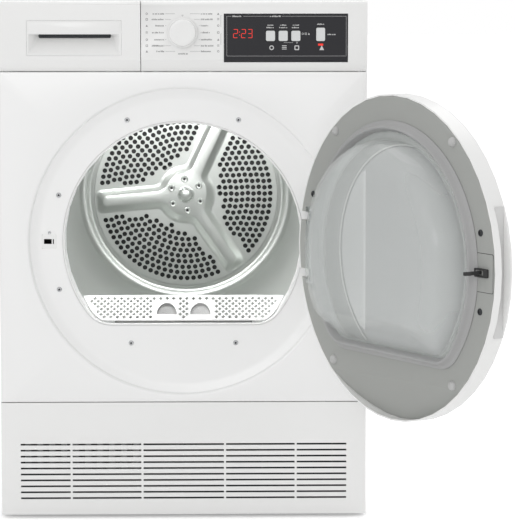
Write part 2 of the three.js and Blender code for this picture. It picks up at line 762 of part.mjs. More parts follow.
function blowerWheel() {
  const y0 = blowerFront + 8;
  const y1 = blowerFront + blowerDepth - 12;
  const bore = motorShaftRadius + gap;
  const disc = turnedY([[bore, y1 - 2], [blowerRadius, y1 - 2], [blowerRadius, y1], [bore, y1]],
    motorX, motorZ, 24);
  const hub = turnedY([[bore, y0 + 6], [12, y0 + 6], [16, y1 - 1], [bore, y1 - 1]], motorX, motorZ, 16);
  const ring = turnedY([[blowerRadius - 3, y0], [blowerRadius, y0], [blowerRadius, y0 + 2],
    [blowerRadius - 3, y0 + 2]], motorX, motorZ, 24);
  const blades = [];
  const count = 10;
  for (let i = 0; i < count; i += 1) {
    const blade = box(-1, 1, y0 + 1, y1 - 1, blowerRadius - 22, blowerRadius - 1);
    blades.push(blade.rotateY(i * 2 * Math.PI / count).translate(motorX, 0, motorZ));
  }
  return join(disc, hub, ring, ...blades);
}

function blowerHousing() {
  const outer = blowerRadius + 12;
  const y0 = blowerFront;
  const y1 = blowerFront + blowerDepth;
  const shell = join(rodY(motorX, motorZ, outer, y0, y1, 24),
    box(motorX, motorX + outer, y0, y1, motorZ, motorZ + 86));
  const inside = join(rodY(motorX, motorZ, outer - moulding, y0 + moulding, y1 - moulding, 24),
    box(motorX + 20, motorX + outer - moulding, y0 + moulding, y1 - moulding, motorZ, motorZ + 90));
  return cut(shell, inside, rodY(motorX, motorZ, 30, y0 - 5, y0 + 10, 20));
}

function idlerArm() {
  const reach = Math.hypot(idlerX - idlerPivotX, idlerZ - idlerPivotZ);
  const tilt = Math.atan2(idlerZ - idlerPivotZ, idlerX - idlerPivotX);
  const y0 = beltY - 17;
  const bar = plateY(roundedRectangle(-9, reach + 9, -9, 9, 8.9), y0, y0 + 4, 8);
  const turned = bar.rotateY(-tilt).translate(idlerPivotX, 0, idlerPivotZ);
  const stub = rodY(idlerX, idlerZ, 4, y0 + 1, beltY + 11, 16);
  return cut(join(turned, stub), rodY(idlerPivotX, idlerPivotZ, idlerPivotRadius + gap, 0, depth, 16));
}

function idlerPulley() {
  return turnedY([[4 + gap, beltY - 9], [idlerRadius + 3, beltY - 9], [idlerRadius, beltY - 6],
    [idlerRadius, beltY + 6], [idlerRadius + 3, beltY + 9], [4 + gap, beltY + 9]], idlerX, idlerZ, 18);
}

// ---------------------------------------------------------------- heat pump

function finnedBlock(y0, y1) {
  const pitch = (heatRight - heatLeft) / finCount;
  const points = [[heatLeft, heatBottom], [heatRight, heatBottom]];
  for (let i = finCount - 1; i >= 0; i -= 1) {
    const x0 = heatLeft + i * pitch;
    points.push([x0 + pitch, heatTop]);
    points.push([x0 + pitch * 0.5, heatTop]);
    points.push([x0 + pitch * 0.5, heatBottom + 8]);
    points.push([x0 + 0.01, heatBottom + 8]);
  }
  const comb = plateY(outline(points), y0, y1);
  const z = (heatBottom + heatTop) / 2;
  const y = (y0 + y1) / 2;
  return join(comb, box(heatLeft + 1, heatRight - 1, y - 4, y + 4, z - 4, z + 4));
}

function compressor() {
  const r = compressorRadius;
  const top = compressorTop;
  const profile = [[0, 26], [r - 12, 26], [r, 40], [r, top - 38], [r - 6, top - 18], [r - 24, top - 5], [0, top]];
  const points = [...profile, profile[0]].map(([u, z]) => new THREE.Vector2(u, z));
  const can = new THREE.LatheGeometry(points, 20).rotateX(Math.PI / 2).translate(compressorX, compressorY, 0);
  const lug = box(compressorX - r - 10, compressorX + r + 10, compressorY - 18, compressorY + 18,
    baseFloorZ + baseWall + gap, 28);
  return join(can, lug);
}

function tube(points, radius, sides, steps) {
  const curve = new THREE.CatmullRomCurve3(points.map(([x, y, z]) => new THREE.Vector3(x, y, z)));
  const section = new THREE.Shape();
  section.absarc(0, 0, radius, 0, 2 * Math.PI);
  return new THREE.ExtrudeGeometry(section,
    { extrudePath: curve, steps, bevelEnabled: false, curveSegments: sides / 2 });
}

function condensatePump() {
  const base = box(pumpX - 26, pumpX + 26, pumpY - 26, pumpY + 26, baseFloorZ + baseWall + gap, 46);
  return join(base, rodZ(pumpX, pumpY, 20, 40, 84, 24), rodZ(pumpX, pumpY, 4, 80, 92, 12));
}

function pumpHose() {
  const sideX = -innerX + 24.8;
  const rearY = rearBulkheadY - 15;
  return tube([[pumpX, pumpY, 94], [pumpX, pumpY, 104], [pumpX - 4, pumpY + 20, 130], [pumpX - 30, rearY - 2, 190],
    [sideX, rearY, 320], [sideX, rearY, tankBottom - 139], [sideX + 17, rearY - 6, tankBottom - 39],
    [sideX + 57, tankBack + 12, tankBottom + 3]], hoseRadius, 6, 26);
}

// ---------------------------------------------------------------- door, modelled closed

function hingeSlots(x0) {
  const half = hingeArmHeight / 2 + 2;
  return [-1, 1].map((side) => {
    const z = portholeZ + side * hingeSpread;
    return box(x0, 300, doorOuterY - 5, 0, z - half, z + half);
  });
}

function doorOuterShell() {
  const back = -doorGap - 0.8;
  const face = doorOuterY;
  const r = doorRadius;
  const eye = doorWindowRadius;
  const shell = turnedY([[eye, face + 3], [eye + 4, face], [r - 5, face], [r - 1.4, face + 1.6],
    [r, face + 5], [r, back], [r - doorSkin, back], [r - doorSkin, face + 6], [r - 6, face + doorSkin],
    [eye + 5, face + doorSkin], [eye + 5, face + 8], [eye, face + 8]], 0, portholeZ, doorSides);
  const boss = box(hingeX - 9, hingeX + 8, face + 1, hingeY + 7, portholeZ - 66, portholeZ + 66);
  const disc = rodY(0, portholeZ, r - 1, -60, 10, doorSides);
  const gripEnd = lockX - 12.3;
  const gripBlock = common(box(-r, gripEnd, face + 1, -12, portholeZ - 100, portholeZ + 100), disc);
  const gripCut = box(-300, gripEnd - doorSkin, face + 4.5, -14.5, portholeZ - 97, portholeZ + 97);
  const pin = rodZ(hingeX, hingeY, hingePinRadius + gap, 0, height, 16);
  return cut(join(shell, boss, gripBlock), gripCut, pin, ...hingeSlots(hingeX - 10));
}

function doorWindow() {
  const face = doorOuterY;
  const edge = doorWindowRadius - gap;
  return turnedY([[0, face + 2], [edge - 3.7, face + 2.4], [edge, face + 4], [edge, face + 7],
    [edge - 3.7, face + 5.4], [0, face + 5]], 0, portholeZ, doorSides);
}

function bowlSection(shrink) {
  const deep = bowlDepth - shrink;
  const r = bowlRadius - shrink;
  const lift = shrink * 1.4;
  const body = turnedY([[0, -30], [r, -30], [r, 4], [r - 6, deep * 0.55], [r - 26, deep - 8], [r - 46, deep - 1],
    [0, deep]], 0, portholeZ, 32);
  const low = portholeFlatZ + 6 + lift;
  const keep = plateX(outline([[-40, low - 34], [0, low - 7], [60, low + 44], [60, height], [-40, height]]),
    -bowlFlangeRadius, bowlFlangeRadius);
  return common(body, keep);
}

function bowlFlange() {
  const disc = rodY(0, portholeZ, bowlFlangeRadius, -doorGap + 0.3, -doorGap + 2.3, 32);
  return common(disc, box(-300, 300, -50, 50, portholeZ - 143, height));
}

function doorGlassBowl() {
  const trim = box(-300, 300, -60, -doorGap + 0.3, 0, height);
  return cut(join(cut(bowlSection(0), trim), bowlFlange()), bowlSection(bowlWall));
}

function hookHolder() {
  const z0 = portholeZ - 16;
  const z1 = portholeZ + 16;
  const block = box(lockX - 11.5, lockX + 20, -24, -doorGap - moulding / 2, z0, z1);
  const room = box(lockX - 10, lockX + 12, -21, 50, z0 + 7, z1 - 7);
  const pin = rodZ(lockX, -9, 2, z0 + 1, z1 - 1, 12);
  return [cut(block, room), room, pin];
}

function doorInnerCover() {
  const disc = rodY(0, portholeZ, doorRadius - doorSkin - 0.8, -doorGap - moulding, -doorGap, doorSides);
  const window = common(rodY(0, portholeZ, bowlRadius - 2, -50, 50, 32),
    box(-300, 300, -50, 50, portholeZ - 137, height));
  const [holder, room, pin] = hookHolder();
  return join(cut(join(disc, holder), window, room, ...hingeSlots(hingeX - 14)), pin);
}

function doorSeal() {
  const high = recessDepth - 0.6;
  const ring = turnedY([[bowlRadius + 12, -doorGap + 2.6], [bowlRadius + 22, -doorGap + 2.6],
    [bowlRadius + 18, high], [bowlRadius + 15, high]], 0, portholeZ, 32);
  return cut(ring, box(-300, 300, -50, 50, 0, portholeZ - 128));
}

function doorHook() {
  const shape = outline([[lockX - 9, -14], [lockX + 9, -14], [lockX + 9, -4], [lockX + 3, -3], [lockX + 3, 28],
    [lockX - 1, 28], [lockX - 5, 22], [lockX - 5, 19], [lockX - 2, 19], [lockX - 2, -3], [lockX - 9, -4]]);
  const hook = plateZ(shape, portholeZ - 2.5, portholeZ + 2.5);
  return cut(join(hook, rodZ(lockX, -9, 6, portholeZ - 7, portholeZ + 7, 16)),
    rodZ(lockX, -9, 2 + gap, 0, height, 12));
}

function hingePin() {
  return rodZ(hingeX, hingeY, hingePinRadius, portholeZ - 62, portholeZ + 62, 16);
}

function hingeBracket() {
  const floorY = recessDepth - gap;
  const half = hingeArmHeight / 2;
  const plate = box(hingeX - 20, hingeX - 4, floorY - 3, floorY - 0.5, portholeZ - 62, portholeZ + 62);
  const arms = [-1, 1].map((side) => {
    const z = portholeZ + side * hingeSpread;
    const arm = box(hingeX - 5, hingeX + 3, hingeY, floorY - 2, z - half, z + half);
    return join(arm, rodZ(hingeX, hingeY, 5, z - half, z + half, 20));
  });
  return cut(join(plate, ...arms), rodZ(hingeX, hingeY, hingePinRadius + gap, 0, height, 16));
}

function doorLock() {
  const front = recessDepth;
  const body = box(lockX - 19, lockX + 12, recessDepth + sheet + gap, bulkheadFront - 2,
    portholeZ - 24, portholeZ + 24);
  const face = box(lockX - 11.6, lockX + 11.6, front, front + 6, portholeZ - 11.6, portholeZ + 11.6);
  const slot = box(lockX - lockSlotWidth / 2, lockX + lockSlotWidth / 2, 0, front + 26,
    portholeZ - lockSlotHeight / 2, portholeZ + lockSlotHeight / 2);
  return cut(join(body, face), slot);
}

// ---------------------------------------------------------------- assembly

add('base_tray', baseTray(), materials.darkPlastic);
add('foot_front_left', foot(-footX, footFrontY), materials.rubber);
add('foot_front_right', foot(footX, footFrontY), materials.rubber);
add('foot_back_left', foot(-footX, footBackY), materials.rubber);
add('foot_back_right', foot(footX, footBackY), materials.rubber);
add('left_side_panel', sidePanel(-1), materials.enamel);
add('right_side_panel', sidePanel(1), materials.enamel);
add('back_panel', backPanel(), materials.galvanised);
add('rear_duct_cover', rearDuctCover(), materials.galvanised);
add('mains_gland', mainsGland(), materials.darkPlastic);
add('top_panel', worktop(), materials.whitePlastic);
add('front_panel', frontPanel(), materials.enamel);
add('plinth_grille', plinthGrille(), materials.whitePlastic);
add('front_bulkhead', frontBulkhead(), materials.whitePlastic);
add('drum_front_seal', drumFrontSeal(), materials.felt);
add('lint_filter', lintFilter(), materials.whitePlastic);

add('control_fascia', controlFascia(), materials.whitePlastic);
add('display_window', displayWindow(), materials.blackWindow);
add('control_board', controlBoard(), materials.circuit);
add('program_knob', programKnob(), materials.whitePlastic);
for (let i = 0; i < 3; i += 1) {
  const x = buttonFirstX + i * buttonPitch;
  add(`option_button_${i + 1}`, key(x, buttonZ, buttonWidth, buttonHeight), materials.paleKey);
}
add('start_button', key(startX, startZ, startWidth, startHeight), materials.paleKey);

add('tank_drawer_front', drawerFront(), materials.whitePlastic);
add('tank_grip', tankGrip(), materials.whitePlastic);
add('water_tank', waterTank(), materials.whitePlastic);
add('tank_lid', tankLid(), materials.whitePlastic);
add('tank_runner', tankRunner(), materials.greyPlastic);

add('drum_shell', drumShell(), materials.steel);
add('drum_back', drumBackWall(), materials.steel);
for (let i = 0; i < lifterCount; i += 1) {
  add(`drum_lifter_${i + 1}`, drumLifter(i), materials.greyPlastic);
}
add('drum_shaft', drumShaft(), materials.galvanised);
add('rear_bulkhead', rearBulkhead(), materials.galvanised);
add('rear_bearing', rearBearing(), materials.darkPlastic);
add('drum_roller_left', drumRoller(-1), materials.rubber);
add('drum_roller_right', drumRoller(1), materials.rubber);

add('motor', motor(), materials.castIron);
add('motor_shaft', motorShaft(), materials.galvanised);
add('blower_wheel', blowerWheel(), materials.darkPlastic);
add('blower_housing', blowerHousing(), materials.darkPlastic);
add('drive_belt', driveBelt(), materials.rubber);
add('idler_arm', idlerArm(), materials.galvanised);
add('idler_pulley', idlerPulley(), materials.darkPlastic);

add('evaporator', finnedBlock(evaporatorFront, evaporatorBack), materials.aluminium);
add('condenser', finnedBlock(condenserFront, condenserBack), materials.aluminium);
add('compressor', compressor(), materials.castIron);
add('condensate_pump', condensatePump(), materials.darkPlastic);
add('pump_hose', pumpHose(), materials.rubber);

add('hinge_bracket', hingeBracket(), materials.galvanised);
add('door_lock', doorLock(), materials.darkPlastic);

const doorSwing = new THREE.Group();
doorSwing.position.set(hingeX, hingeY, 0);
doorSwing.rotation.z = doorAngle * Math.PI / 180;
machine.add(doorSwing);
const door = new THREE.Group();
door.position.set(-hingeX, -hingeY, 0);
doorSwing.add(door);
const addToDoor = (name, geometry, surface) => place(door, name, geometry, surface);
addToDoor('door_outer_shell', doorOuterShell(), materials.whitePlastic);
addToDoor('door_window', doorWindow(), materials.glass);
addToDoor('door_glass_bowl', doorGlassBowl(), materials.glass);
addToDoor('door_inner_cover', doorInnerCover(), materials.greyPlastic);
addToDoor('door_seal', doorSeal(), materials.rubber);
addToDoor('door_hook', doorHook(), materials.darkPlastic);
addToDoor('hinge_pin', hingePin(), materials.steel);

// The origin is the point on the floor under the middle of the whole object's bounding box.
const dryer = new THREE.Group();
const bounds = new THREE.Box3().setFromObject(machine);
machine.position.set(-(bounds.min.x + bounds.max.x) / 2, -(bounds.min.y + bounds.max.y) / 2, -bounds.min.z);
dryer.add(machine);

export default dryer;
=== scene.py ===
"""Clothes dryer: the visible surfaces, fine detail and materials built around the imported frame.

Pieces are drawn in millimetres in the machine's own directions: X to the right from the middle of the
front, Y from the front face to the back, Z up from the floor. `finish_piece` then puts the mesh in place.
"""

import json
import math
import random

import bmesh
import bpy
from mathutils import Matrix, Vector


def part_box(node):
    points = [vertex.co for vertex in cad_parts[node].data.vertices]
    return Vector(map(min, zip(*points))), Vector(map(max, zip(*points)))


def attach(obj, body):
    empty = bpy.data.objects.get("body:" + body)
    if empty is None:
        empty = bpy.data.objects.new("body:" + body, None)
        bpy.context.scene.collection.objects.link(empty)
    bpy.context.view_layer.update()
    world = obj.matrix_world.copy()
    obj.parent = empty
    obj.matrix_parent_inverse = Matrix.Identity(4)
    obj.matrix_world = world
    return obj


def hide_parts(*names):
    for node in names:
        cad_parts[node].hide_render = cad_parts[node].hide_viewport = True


bl_info = {
    "name": "Clothes dryer",
    "version": (1, 0, 0),
    "blender": (4, 5, 0),
    "location": "View3D > Sidebar > Dryer",
    "description": "Builds the visible pieces, materials and stage of a clothes dryer around its frame",
    "category": "Add Mesh",
}

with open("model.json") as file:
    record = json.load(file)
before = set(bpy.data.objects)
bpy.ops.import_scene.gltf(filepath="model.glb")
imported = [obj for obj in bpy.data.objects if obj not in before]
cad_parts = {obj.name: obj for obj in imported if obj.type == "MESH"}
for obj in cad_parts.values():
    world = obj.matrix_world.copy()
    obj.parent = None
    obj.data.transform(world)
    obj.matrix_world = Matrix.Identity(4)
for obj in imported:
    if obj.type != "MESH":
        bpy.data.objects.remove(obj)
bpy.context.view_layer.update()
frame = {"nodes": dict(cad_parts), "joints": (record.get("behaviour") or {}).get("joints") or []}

# ---------------------------------------------------------------- places taken from the frame

PANEL_LOW, PANEL_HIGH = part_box("front_panel")
ORIGIN = Vector(((PANEL_LOW.x + PANEL_HIGH.x) / 2, PANEL_LOW.y, 0.0))
PLACE = Matrix.Translation(ORIGIN) @ Matrix.Scale(0.001, 4)
HINGE = next(joint for joint in frame["joints"] if joint["name"] == "door_hinge")
HINGE_POINT = Vector(HINGE["pos_m"])
OPEN_ANGLE = -math.radians(min(HINGE["range_deg"]))
SWING = (Matrix.Translation(HINGE_POINT) @ Matrix.Rotation(OPEN_ANGLE, 4, "Z")
         @ Matrix.Translation(-HINGE_POINT))


def node_box(node):
    """Lowest and highest corners of a CAD node, in millimetres in the machine's directions."""
    low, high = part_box(node)
    return (low - ORIGIN) * 1000.0, (high - ORIGIN) * 1000.0


def middle_z(node):
    """Height of a CAD node's middle."""
    low, high = node_box(node)
    return (low.z + high.z) / 2


HALF = (PANEL_HIGH.x - PANEL_LOW.x) * 500.0
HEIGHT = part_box("top_panel")[1].z * 1000.0
HINGE_X = (HINGE_POINT.x - ORIGIN.x) * 1000.0
DOOR_Z = middle_z("door_outer_shell")
DRUM_Z = middle_z("drum_shell")
KNOB_Z = middle_z("program_knob")
WALL_Y = node_box("drum_shell")[1].y + 4.0    # front of the drum's back wall
COVER_Y = -3.0                                # inner face of the closed door's cover
PANEL_TOP = PANEL_HIGH.z * 1000.0
PANEL_BOTTOM = PANEL_LOW.z * 1000.0
RING = 240              # points around an outline of the door or its seat
FOLD = 1.2              # turn of an edge, in radians, that counts as a fold
STAR_ANGLE = 65.0       # the star's first arm, in degrees
HINGE_ARM = 46.0        # height of the hinge's arms from the door's middle
LOCK_X = (-229.4, -205.8)         # sides of the lock's plate
LOCK_SLOT_X = (-226.0, -210.0)    # sides of its slot
LABEL_FOOT = 791.2      # lower edge of the tank grip's label plate


# ---------------------------------------------------------------- settings a user may change


def length(name, description, default):
    """A size in millimetres."""
    return bpy.props.FloatProperty(name=name, description=description + ", in millimetres", default=default)


def colour(name, description, default):
    """A linear colour."""
    return bpy.props.FloatVectorProperty(name=name, description=description, default=default, size=3,
                                         subtype="COLOR", min=0.0, max=1.0)


class DryerSizes(bpy.types.PropertyGroup):
    """Sizes of the fine detail."""

    edge: length("Edge rounding", "Radius of the upright edges of the front pieces", 6.0)
    dish_radius: length("Door seat radius", "Outer radius of the dished door seat", 249.0)
    dish_floor: length("Door seat floor radius", "Radius where the seat's floor starts", 231.0)
    dish_depth: length("Door seat depth", "Depth of the seat's floor", 10.0)
    opening_radius: length("Opening radius", "Radius of the loading opening", 193.0)
    opening_drop: length("Opening drop", "Middle of the opening to its flat bottom", 135.0)
    opening_corner: length("Opening corner", "Radius of the opening's lower corners", 45.0)
    hole: length("Drum hole", "Diameter of the holes in the drum's back wall", 8.6)
    hole_pitch: length("Drum hole pitch", "Distance between the holes in the drum's back wall", 11.4)
    star_reach: length("Star reach", "Length of the star's arms from the drum's axis", 161.0)
    star_half: length("Star arm half width", "Half width of an arm at its foot", 19.0)
    star_hub: length("Star hub radius", "Radius of the raised middle at its foot", 50.0)
    star_height: length("Star height", "How far the star stands out of the wall", 7.5)
    bowl_radius: length("Bowl radius", "Radius of the door's glass bowl", 184.0)
    bowl_depth: length("Bowl depth", "Depth of the bowl behind the door's inner face", 56.0)
    glass_wall: length("Glass wall", "Wall of the door's glass bowl", 4.0)
    bead_radius: length("Seal radius", "Radius of the seal bead around the bowl", 201.0)
    screw: length("Screw head", "Diameter of the screw heads", 8.6)
    knob_radius: length("Knob radius", "Radius of the program knob's front", 21.5)
    skirt_radius: length("Skirt radius", "Radius of the program knob's skirt", 24.8)


class DryerColours(bpy.types.PropertyGroup):
    """Colours of the finishes."""

    enamel: colour("Enamel", "Painted panels", (0.87, 0.87, 0.87))
    moulding: colour("White moulding", "White plastic pieces", (0.86, 0.86, 0.86))
    cover: colour("Door cover", "Grey inner cover of the door", (0.33, 0.33, 0.33))
    bead: colour("Seal", "Seal bead around the bowl", (0.40, 0.40, 0.40))
    steel: colour("Drum steel", "Stainless steel of the drum", (0.86, 0.885, 0.90))
    steel_tint: colour("Drum steel tint", "Second tone in the drum's steel", (0.74, 0.77, 0.785))
    window: colour("Display window", "Glossy display window", (0.004, 0.004, 0.004))
    key: colour("Keys", "Caps of the option and start keys", (0.72, 0.73, 0.73))
    digits: colour("Digits", "Lit digits and the lit bar", (1.0, 0.035, 0.02))
    print_grey: colour("Printed marks", "Printed marks on the control strip", (0.30, 0.30, 0.30))
    dark: colour("Dark plastic", "Black plastic pieces", (0.018, 0.018, 0.02))
    glass: colour("Glass", "Glass of the door", (0.96, 0.965, 0.963))
    pane: colour("Door pane", "Tinted pane in the door's outer face", (0.66, 0.67, 0.67))


# ---------------------------------------------------------------- mesh helpers


def add_loop(bm, points, closed=True):
    """A few vertices joined by edges, closed into a loop or left open."""
    verts = [bm.verts.new(point) for point in points]
    ends = verts[1:] + verts[:1] if closed else verts[1:]
    return [bm.edges.new(pair) for pair in zip(verts, ends)]


def loft(bm, rings, join_ends=False):
    """A wall through rings of equally many points; returns the edges of its first and last rings."""
    first = edges = add_loop(bm, rings[0])
    verts = [edge.verts[0] for edge in edges]
    for ring in rings[1:] + rings[:1] * join_ends:
        made = bmesh.ops.extrude_edge_only(bm, edges=edges)["geom"]
        new = {item for item in made if isinstance(item, bmesh.types.BMVert)}
        edges = [item for item in made if isinstance(item, bmesh.types.BMEdge) and set(item.verts) <= new]
        verts = [next(edge.other_vert(vert) for edge in vert.link_edges if edge.other_vert(vert) in new)
                 for vert in verts]
        for vert, point in zip(verts, ring):
            vert.co = point
    return first, edges


def spin_ring(bm, profile, x, z, steps, closed=True):
    """An outline of (radius, y) points turned a full turn about the Y direction through (x, z)."""
    points = [(x + radius, y, z) for radius, y in profile]
    edges = add_loop(bm, points, closed)
    verts = list({vert for edge in edges for vert in edge.verts})
    bmesh.ops.spin(bm, geom=verts + edges, cent=(x, 0, z), axis=(0, 1, 0), dvec=(0, 0, 0),
                   angle=2 * math.pi, steps=steps, use_merge=True, use_duplicate=False)


def add_box(bm, low, high):
    """A block between two corners."""
    centre = (Vector(low) + Vector(high)) / 2
    size = Vector(high) - Vector(low)
    matrix = Matrix.Translation(centre) @ Matrix.Diagonal((*size, 1.0))
    return bmesh.ops.create_cube(bm, size=1.0, matrix=matrix)["verts"]


def add_plate(bm, points, y0, y1):
    """A flat outline of (x, z) points given thickness from y0 to y1."""
    edges = add_loop(bm, [(x, y0, z) for x, z in points])
    face = bmesh.ops.contextual_create(bm, geom=edges)["faces"]
    made = bmesh.ops.extrude_face_region(bm, geom=face)["geom"]
    verts = [item for item in made if isinstance(item, bmesh.types.BMVert)]
    bmesh.ops.translate(bm, verts=verts, vec=(0, y1 - y0, 0))
    return verts


def round_edges(bm, edges, offset, segments, clamp=False):
    """Bevels edges to a round."""
    bmesh.ops.bevel(bm, geom=edges, offset=offset, segments=segments, affect="EDGES", profile=0.5,
                    material=-1, clamp_overlap=clamp)


def folded_edges(bm, angle, chosen=lambda place: True):
    """Edges that turn by more than an angle in radians, and whose ends are both chosen."""
    return [edge for edge in bm.edges if len(edge.link_faces) == 2 and edge.calc_face_angle(0.0) > angle
            and all(chosen(vert.co) for vert in edge.verts)]


def soften(bm, offset):
    """Rounds every clear corner of a small piece."""
    round_edges(bm, folded_edges(bm, math.radians(50)), offset, 2, clamp=True)


def arc(centre_x, centre_z, radius, start, end, count):
    """Points along an arc in the (x, z) plane, without the last one; angles in radians."""
    steps = [start + (end - start) * i / count for i in range(count)]
    return [(centre_x + radius * math.cos(a), centre_z + radius * math.sin(a)) for a in steps]


def polar_circle(radius):
    """A full circle about the door's middle, stepped like `flat_circle`."""
    return arc(0, DOOR_Z, radius, math.pi / 2, 2.5 * math.pi, RING)


def flat_circle(radius, drop, corner):
    """A circle about the door's middle with a flat bottom `drop` below it and rounded lower corners."""
    corner_z = corner - drop
    corner_x = math.sqrt(max((radius - corner) ** 2 - corner_z ** 2, 1.0))
    points = []
    for i in range(RING):
        angle = math.pi / 2 + 2 * math.pi * i / RING
        dx, dz = math.cos(angle), math.sin(angle)
        reach = radius
        if dz < 0 and drop / -dz * abs(dx) < corner_x:
            reach = drop / -dz
        elif dz * radius < corner_z * radius / (radius - corner):
            along = abs(dx) * corner_x + dz * corner_z
            reach = along + math.sqrt(max(along ** 2 - corner_x ** 2 - corner_z ** 2 + corner ** 2, 0.0))
        points.append((dx * reach, DOOR_Z + dz * reach))
    return points


def door_plate(x0, x1, half_height, radius):
    """Outline of a small rectangular plate at the height of the door's middle."""
    return rounded_rectangle(x0, x1, DOOR_Z - half_height, DOOR_Z + half_height, radius)


def at_depth(points, y):
    """(x, z) points placed at one depth."""
    return [(x, y, z) for x, z in points]


def rounded_rectangle(x0, x1, z0, z1, radius, count=4):
    """Points of a rectangle with round corners."""
    half = math.pi / 2
    left, right, foot, top = x0 + radius, x1 - radius, z0 + radius, z1 - radius
    points = arc(right, top, radius, 0, half, count) + [(right, z1)]
    points += arc(left, top, radius, half, 2 * half, count) + [(x0, top)]
    points += arc(left, foot, radius, 2 * half, 3 * half, count) + [(left, z0)]
    points += arc(right, foot, radius, 3 * half, 4 * half, count) + [(x1, foot)]
    return points


def add_band(bm, outer, inner, y0, y1):
    """A closed band between two outlines of equally many points, from y0 to y1."""
    loft(bm, [at_depth(outer, y0), at_depth(outer, y1), at_depth(inner, y1), at_depth(inner, y0)],
         join_ends=True)


def finish_piece(bm, name, material, body, replaces=(), swing=False, sharp=32.0, merge=1e-3,
                 recalculate=True):
    """Turns the drawing into an object in place, riding on its body; the slot may follow the material."""
    if merge:
        bmesh.ops.remove_doubles(bm, verts=bm.verts, dist=merge)
    if recalculate:
        bmesh.ops.recalc_face_normals(bm, faces=bm.faces)
    bm.transform(SWING @ PLACE if swing else PLACE)
    mesh = bpy.data.meshes.new(name)
    bm.to_mesh(mesh)
    bm.free()
    mesh.materials.append(bpy.data.materials[material])
    mesh.shade_smooth()
    mesh.set_sharp_from_angle(angle=math.radians(sharp))
    piece = bpy.data.objects.new(name, mesh)
    bpy.context.scene.collection.objects.link(piece)
    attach(piece, body)
    if replaces:
        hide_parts(*replaces)
    return piece


def open_window(bm, x0, x1, z0, z1, y):
    """Opens a rectangular hole in the flat faces at one depth."""
    across, up = (1, 0, 0), (0, 0, 1)
    planes = (((x0, y, z0), across), ((x1, y, z0), across), ((x0, y, z0), up), ((x0, y, z1), up))

    def flat_faces(room):
        """The faces at that depth with their middle in the window, or within some room of it."""
        faces = [face for face in bm.faces if all(abs(vert.co.y - y) < 0.01 for vert in face.verts)]
        middles = [(face, face.calc_center_median()) for face in faces]
        return [face for face, middle in middles
                if x0 - room < middle.x < x1 + room and z0 - room < middle.z < z1 + room]

    for point, normal in planes:
        faces = flat_faces(30.0)
        parts = {part for face in faces for part in (*face.edges, *face.verts)}
        bmesh.ops.bisect_plane(bm, geom=faces + list(parts), dist=1e-4, plane_co=point, plane_no=normal)
    bmesh.ops.delete(bm, geom=flat_faces(0.0), context="FACES")


def carve(piece, cutter, swing=False):
    """Cuts a closed drawing, made in millimetres, out of a finished piece."""
    cutter.transform(SWING @ PLACE if swing else PLACE)
    mesh = bpy.data.meshes.new("cutter")
    cutter.to_mesh(mesh)
    cutter.free()
    tool = bpy.data.objects.new("cutter", mesh)
    bpy.context.scene.collection.objects.link(tool)
    modifier = piece.modifiers.new("cut", "BOOLEAN")
    modifier.operation = "DIFFERENCE"
    modifier.solver = "EXACT"
    modifier.object = tool
    graph = bpy.context.evaluated_depsgraph_get()
    result = bpy.data.meshes.new_from_object(piece.evaluated_get(graph))
    piece.modifiers.clear()
    piece.data = result
    bpy.data.objects.remove(tool)


def carry(node, material, body, bevel=0.5, side_edge=0.0):
    """A copy of a CAD node with merged faces, softened edges and a finish."""
    bm = bmesh.new()
    bm.from_mesh(frame["nodes"][node].data)
    bm.transform(PLACE.inverted())
    bmesh.ops.remove_doubles(bm, verts=bm.verts, dist=1e-3)
    bmesh.ops.join_triangles(bm, faces=bm.faces[:], angle_face_threshold=math.radians(0.5),
                             angle_shape_threshold=math.radians(180))
    if side_edge:
        upright = folded_edges(bm, 0.9, lambda place: abs(place.x) > HALF - 0.1 and place.y < 15.0)
        round_edges(bm, upright, side_edge, 5, clamp=True)
    piece = finish_piece(bm, node + "_shell", material, body, (node,), merge=0, recalculate=False)
    modifier = piece.modifiers.new("soft edges", "BEVEL")
    modifier.width = bevel / 1000.0
    modifier.segments = 2
    modifier.limit_method = "ANGLE"
    modifier.angle_limit = math.radians(35)
    modifier.harden_normals = False
    modifier.use_clamp_overlap = True
    return piece


# ---------------------------------------------------------------- node groups and materials


def feed(tree, node, sources):
    """Gives input sockets a value each, or joins them to output sockets."""
    for socket, source in sources.items():
        if isinstance(source, bpy.types.NodeSocket):
            tree.links.new(source, node.inputs[socket])
        else:
            node.inputs[socket].default_value = source


def add_node(tree, kind, sources=None, **settings):
    """A shader node with its settings made and its input sockets fed."""
    node = tree.nodes.new("ShaderNode" + kind)
    for name, value in settings.items():
        setattr(node, name, value)
    feed(tree, node, sources or {})
    return node


def object_place(tree):
    """The place on the object."""
    return add_node(tree, "TexCoord").outputs["Object"]


def noise(tree, where, scale, detail=2.0):
    """Cloudy noise."""
    return add_node(tree, "TexNoise", {"Vector": where, "Scale": scale, "Detail": detail}).outputs["Fac"]


def mapped_range(tree, source, low, high):
    """The middle part of a noise spread over a range."""
    node = add_node(tree, "MapRange", {"Value": source, "From Min": 0.3, "From Max": 0.7,
                                       "To Min": low, "To Max": high})
    return node.outputs["Result"]


def mix(tree, factor, first, second, colours=True):
    """A mix of two colours or of two numbers; a mix node has separate sockets for each kind."""
    kind, a, b, result = ("RGBA", 6, 7, 2) if colours else ("FLOAT", 2, 3, 0)
    return add_node(tree, "Mix", {0: factor, a: first, b: second}, data_type=kind).outputs[result]


def mix_shaders(tree, ray, other, chosen):
    """One shader for the rays of one kind and another for the rest."""
    path = add_node(tree, "LightPath")
    return add_node(tree, "MixShader", {0: path.outputs[ray], 1: other, 2: chosen}).outputs[0]


